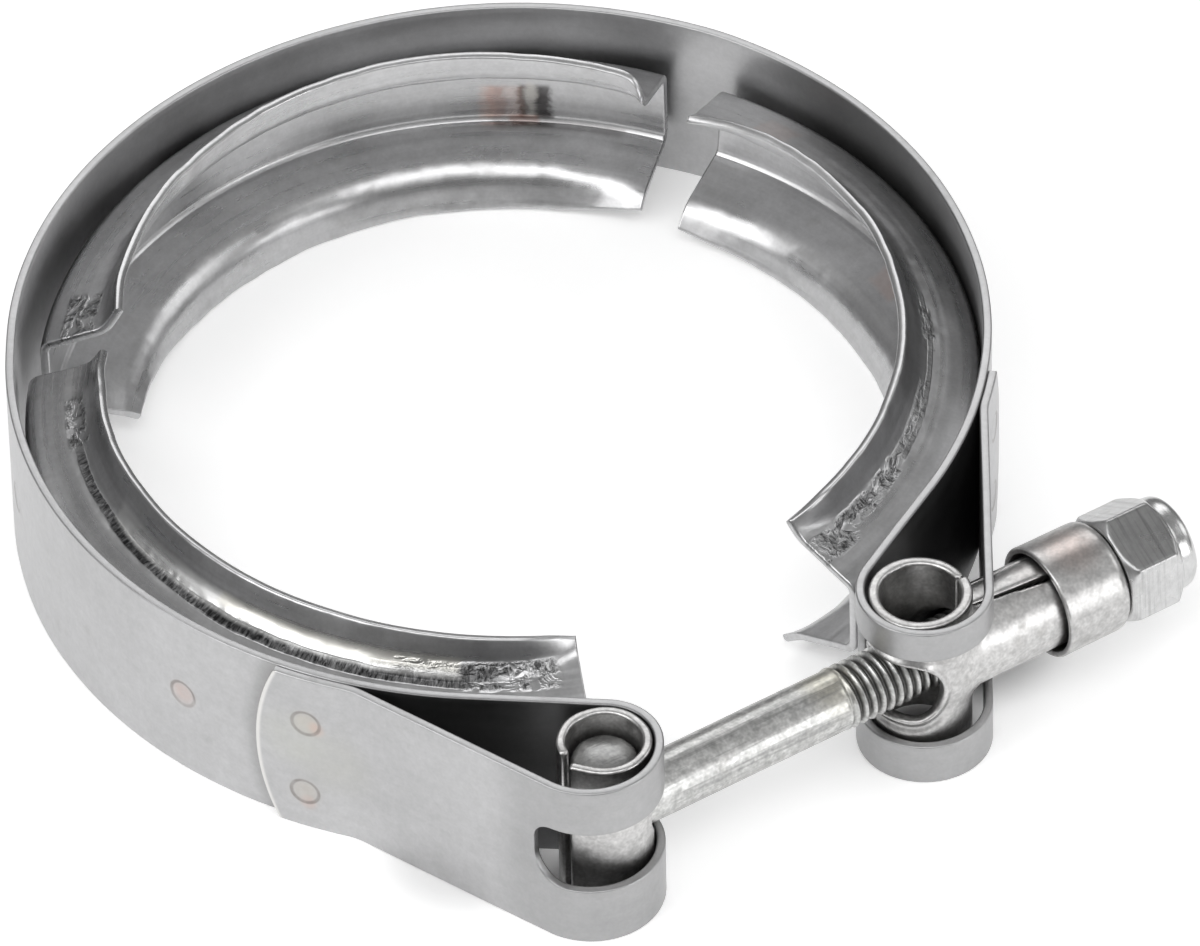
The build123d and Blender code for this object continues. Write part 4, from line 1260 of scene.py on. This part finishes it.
# ------------------------------------------------------------ rolled sleeve in the left loop
SR, ST = 5.65, 1.15
SM = SR - ST / 2
a_end = 252.0
p_end = polar(PL, SM, a_end)
dir_end = np.array([math.sin(math.radians(a_end)), -math.cos(math.radians(a_end))])
tip = tuple(np.array(p_end) + dir_end * 2.7)
SLV = Path([("L", tip, p_end), arc(PL, SM, a_end, 204.0 + 360, True)])
ZL0, ZL1 = ZB - 11.5, ZB + 11.5
out = resample(round_corners([(0, ZL0), (SLV.total, ZL0), (SLV.total, ZL1), (0, ZL1)], [0.5] * 4, 4), 0.5)
s_hole = 2.7 + SM * math.radians((BOLT_DEG + 360 - a_end) % 360)
hole = np.array([(s_hole + 4.2 * math.cos(a), ZB + 4.2 * math.sin(a)) for a in np.linspace(2 * np.pi, 0, 56, endpoint=False)])


def sleeve_shape(s, z):
    w = 0.05 * vnoise(s / 2.2, z / 6.0, 81)
    lip = 0.30 * (1 - smooth(0.0, 1.3, s))
    return w + lip * 0.0, w


v, f, uv, sd = sheet(SLV, [out, hole], t=ST, rr=0.38, big=0.4, small=0.4, dz=0.7, shape=sleeve_shape, rounds=4)
sleeve = clean(make("sleeve_rolled", v, f, [MAT_SLEEVE], uv, 55))

# ------------------------------------------------------------ right trunnion: barrel and tube of one sheet
BR, BI, BH = 6.2, 4.9, 11.7
TR, TI, T_END = 5.69, 4.55, 69.9


def trunnion_f(P):
    x, y, z = P[:, 0] - PR[0], P[:, 1] - PR[1], P[:, 2]
    rad = np.hypot(x, y)
    s, lat, up = bolt_frame(P)
    rt = np.hypot(lat, up)
    th = np.arctan2(y, x)
    # the oval hole on the bolt's side, long towards the front
    mid = math.radians(BOLT_DEG + 180 + 21.0)
    dth = (th - mid + np.pi) % (2 * np.pi) - np.pi
    arcp = BR * np.maximum(abs(dth) - math.radians(21.0), 0)
    hd = np.hypot(arcp, z - ZB) - 4.35
    hd = np.where(rad < 2.5, 3.0, hd)
    # rolled lip round it: a shallow groove, then a bead
    collar = -0.40 * np.exp(-((hd - 1.35) / 0.62) ** 2) + 0.22 * np.exp(-((hd - 0.25) / 0.42) ** 2)
    # the sheet's end steps down behind the seam
    sd = (np.degrees(th) - 27.0 + 180) % 360 - 180
    step = 0.30 * np.where((sd > 0) & (z > 3), np.exp(-(sd / 26.0)), 0)
    wav = 0.05 * np.sin(3 * th + 0.8) * smooth(4, 11, abs(z))
    rb = rad - (BR + collar + wav - step)
    outer_b = smax(rb, abs(z) - BH, 0.35)
    tube = smax(rt - TR, np.maximum(s - T_END, SPAN - 0.5 - s), 0.35)
    outer = smin(outer_b, tube, 1.5)
    inner_b = rad - (BI + 0.5 * wav)
    inner_t = np.maximum(rt - TI, SPAN - s)
    inner = smin(inner_b, inner_t, 0.8)
    d = smax(outer, -inner, 0.40)
    d = smax(d, -np.where(rad > 3.2, hd, 3.0), 0.42)
    # seams: above the tube in the barrel, and along the tube's top at the back
    seam = np.maximum(abs(BR * np.radians(sd)) - 0.14, 0) + 0
    slit = np.where((z > 4.0) & (rad > 3.5) & (abs(sd) < 60), abs(BR * np.radians(sd)) - 0.15, 9.0)
    d = smax(d, -slit, 0.12)
    ta = np.arctan2(lat, up)
    sl = np.where((s > SPAN + 5.2) & (rt > 3.5), abs(rt * (ta - math.radians(30.0))) - 0.17, 9.0)
    d = smax(d, -sl, 0.15)
    return d


lo_t = np.minimum(PR - BR, np.array(PL) + U * T_END - TR) - 1.2
hi_t = np.maximum(PR + BR, np.array(PL) + U * T_END + TR) + 1.2
V, Q = nets(trunnion_f, (lo_t[0], lo_t[1], -BH - 0.8), (hi_t[0], hi_t[1], BH + 0.8), 0.27)
trunnion = make("trunnion_formed", V, Q, [MAT_SLEEVE], None, 0)

# ------------------------------------------------------------ cup washer
C0, C1, CR, CT = 61.7, 70.9, 7.1, 0.75
cup_prof = round_corners(
    [(C0, CR - CT), (C0, CR + 0.05), (C0 + 1.3, CR), (C1, CR - 0.05), (C1, 4.25), (C1 - CT, 4.25), (C1 - CT, CR - CT)],
    [0.25, 0.30, 0.8, 1.5, 0.25, 0.25, 0.7], 6)
dense = []
for a, b in zip(cup_prof, np.roll(cup_prof, -1, 0)):
    k = max(1, int(np.linalg.norm(b - a) / 0.8))
    dense += [a + (b - a) * j / k for j in range(k)]
V, F = lathe(dense, 128)
th = np.arctan2(bolt_frame(V)[1], bolt_frame(V)[2])
cup = clean(make("cup_washer_drawn", V, F, [MAT_CUP], None, 50))

# ------------------------------------------------------------ locknut
N0, NH, N1 = 71.0, 78.7, 81.4
AF = 13.0


def nut_f(P):
    s, lat, up = bolt_frame(P)
    # angle from +z towards the front side of the bolt; corner at 56 degrees
    t = np.arctan2(-lat, up)
    r = np.hypot(lat, up)
    k = np.round((np.degrees(t) - 56.0 - 30.0) / 60.0) * 60.0 + 86.0
    # smooth largest of the six flats
    d = None
    for j in range(6):
        a = math.radians(86.0 + 60.0 * j)
        f = r * np.cos(t - a) - AF / 2
        d = f if d is None else smax(d, f, 0.35)
    hexa = smax(d, np.maximum(s - NH, N0 - s), 0.25)
    ch = r - (AF / math.sqrt(3) + 0.15) + np.maximum(0, 1.0 * (N0 + 0.95 - s) * 1.5) * 0.9
    ch2 = (r + 1.15 * (s - NH) - 6.35) / math.sqrt(1 + 1.15 ** 2)
    ch1 = (r + 0.95 * (N0 - s) - 6.40) / math.sqrt(1 + 0.95 ** 2)
    hexa = smax(smax(hexa, ch2, 0.25), ch1, 0.25)
    crown = smax(r - 5.95, np.maximum(s - N1, N0 + 1 - s), 1.6)
    body = smin(hexa, crown, 0.25)
    bore = r - 4.0
    cone = (r - 4.0 - 0.9 * np.maximum(0, 0.7 - (N1 - s)))
    d = smax(body, -np.minimum(bore, cone), 0.18)
    return d


sc_ = np.array([from_bolt(np.array([a]), np.array([b]), np.array([0.0]))[0] for a in (N0, N1) for b in (-8.2, 8.2)])
V, Q = nets(nut_f, (sc_[:, 0].min() - 0.6, sc_[:, 1].min() - 0.6, ZB - 8.2), (sc_[:, 0].max() + 0.6, sc_[:, 1].max() + 0.6, ZB + 8.2),
            0.2)
nut = make("locknut_crowned", V, Q, [MAT_NUT], None, 0)

# ------------------------------------------------------------ who moves with what
for o in (band_left, band_right):
    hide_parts("band")
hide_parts("segment_rear"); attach(seg_rear, "rear")
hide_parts("segment_right"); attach(seg_right, "right")
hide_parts("segment_front"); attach(seg_front, "front")
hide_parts("t_bolt"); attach(t_bolt, "bolt")
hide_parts("sleeve_trunnion"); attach(sleeve, "bolt")
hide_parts("tube_trunnion"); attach(trunnion, "trunnion")
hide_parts("cup_washer"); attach(cup, "cup")
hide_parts("locknut"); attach(nut, "nut")
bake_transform(band_left)
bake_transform(band_right)

# ------------------------------------------------------------ floor, light, camera
FLOOR_GLOW = 0.33
fm, nt = new_mat("pale_floor")
k = N(nt)
o_ = k.node("ShaderNodeOutputMaterial"); b_ = k.node("ShaderNodeBsdfPrincipled")
k.link(b_.outputs[0], o_.inputs[0])
tc = k.node("ShaderNodeTexCoord")
fo = tc.outputs["Object"]
# painted pool of light: the floor is lighter and glows more near the middle, darker further out
far = k.node("ShaderNodeVectorMath", operation="LENGTH")
k.link(fo, far.inputs[0])
floor_light_pool = k.remap(far.outputs["Value"], 0.14, 0.34, 1.0, 0.0, True)
cv = k.math("MULTIPLY", k.remap(k.noise(fo, 6.0, 3.0, 0.5), 0.3, 0.7, 0.93, 0.95), k.remap(floor_light_pool, 0.0, 1.0, 0.50, 1.0))
cc = k.node("ShaderNodeCombineColor")
for i in range(3):
    k.link(cv, cc.inputs[i])
k.link(cc.outputs[0], b_.inputs["Base Color"])
b_.inputs["Roughness"].default_value = 0.9
b_.inputs["Specular IOR Level"].default_value = 0.1
b_.inputs["Emission Color"].default_value = (1.0, 1.0, 1.0, 1)
FZ = -W2 - 0.02
glow = k.math("MULTIPLY", floor_light_pool, FLOOR_GLOW)
# painted shadows: the glow is cut back in soft patches under both loops and beside them
for (x, y), r in (((-7.0, -64.5), 13.0), ((8.0, -70.7), 9.0), ((54.5, -31.0), 13.0), ((48.0, -46.0), 9.0)):
    glow = k.math("MULTIPLY", glow, k.math("SUBTRACT", 1.0, k.ball(fo, (x * MM, y * MM, FZ * MM), r * MM, 0.6)))
k.link(glow, b_.inputs["Emission Strength"])
me = bpy.data.meshes.new("floor")
g, half = 24, 4.0
xs = np.linspace(-half, half, g + 1)
me.from_pydata([(x, y, -W2 * MM - 0.00002) for x in xs for y in xs], [],
               [(i * (g + 1) + j, (i + 1) * (g + 1) + j, (i + 1) * (g + 1) + j + 1, i * (g + 1) + j + 1) for i in range(g) for j in range(g)])
me.materials.append(fm)
floor = bpy.data.objects.new("floor", me)
bpy.context.scene.collection.objects.link(floor)


def area(name, loc, target, size, power, size_y=None, color=(1, 1, 1)):
    l = bpy.data.lights.new(name, "AREA")
    l.shape = "RECTANGLE" if size_y else "SQUARE"
    l.size = size
    if size_y:
        l.size_y = size_y
    l.energy = power
    l.color = color
    o = bpy.data.objects.new(name, l)
    o.location = loc
    o.rotation_mode = "QUATERNION"
    o.rotation_quaternion = (Vector(target) - Vector(loc)).to_track_quat("-Z", "Y")
    bpy.context.scene.collection.objects.link(o)
    return o


area("key", (0.10, -0.58, 1.05), (0, 0, 0), 1.05, 4.2, 0.56)
area("left", (-0.80, -0.48, 0.74), (0, 0, 0), 0.66, 5.6, 1.00)
area("right", (1.06, 0.22, 0.60), (0, 0, 0), 0.60, 1.7, 0.60)
area("side", (1.0, -0.62, 0.24), (0, 0, 0), 0.50, 2.9, 0.60)
area("back", (0.0, 0.88, 0.82), (0, 0, 0), 0.85, 2.3, 0.50)
w = bpy.data.worlds.new("studio")
bpy.context.scene.world = w
w.use_nodes = True
nt = w.node_tree
nt.nodes.clear()
k = N(nt)
wo = k.node("ShaderNodeOutputWorld"); bg = k.node("ShaderNodeBackground")
k.link(bg.outputs[0], wo.inputs[0])
tc = k.node("ShaderNodeTexCoord")
sep = k.node("ShaderNodeSeparateXYZ")
k.link(tc.outputs["Generated"], sep.inputs[0])
up = k.remap(sep.outputs["Z"], 0.0, 0.9, 0.22, 0.36, True)
cw = k.node("ShaderNodeCombineColor")
for i in range(3):
    k.link(up, cw.inputs[i])
k.link(cw.outputs[0], bg.inputs["Color"])
bg.inputs["Strength"].default_value = 1.0

C = Vector((0, -1239.693, 1163.4525 - 12.1)) * MM
fwd = Vector((0.00622642, 0.72941164, -0.6840467)).normalized()
upv = Vector((0.02748731, 0.68367664, 0.72926723))
right = fwd.cross(upv).normalized()
upv = right.cross(fwd)
cam = bpy.data.cameras.new("camera")
cam.sensor_width = 36.0
cam.lens = 14000 * 36.0 / 1200
co = bpy.data.objects.new("camera", cam)
m = Matrix((( right.x, upv.x, -fwd.x, C.x), (right.y, upv.y, -fwd.y, C.y), (right.z, upv.z, -fwd.z, C.z), (0, 0, 0, 1)))
co.matrix_world = m
cam.clip_start, cam.clip_end = 0.01, 30
bpy.context.scene.collection.objects.link(co)
bpy.context.scene.camera = co
bpy.context.scene.view_settings.view_transform = "Standard"

tris = {o.name: sum(len(p.vertices) - 2 for p in o.data.polygons) for o in (band_left, band_right, seg_rear, seg_right, seg_front, t_bolt, sleeve, trunnion, cup, nut)}
print("triangles", tris, sum(tris.values()), "strap length", round(STRAP.total, 1), "sleeve length", round(SLV.total, 1))
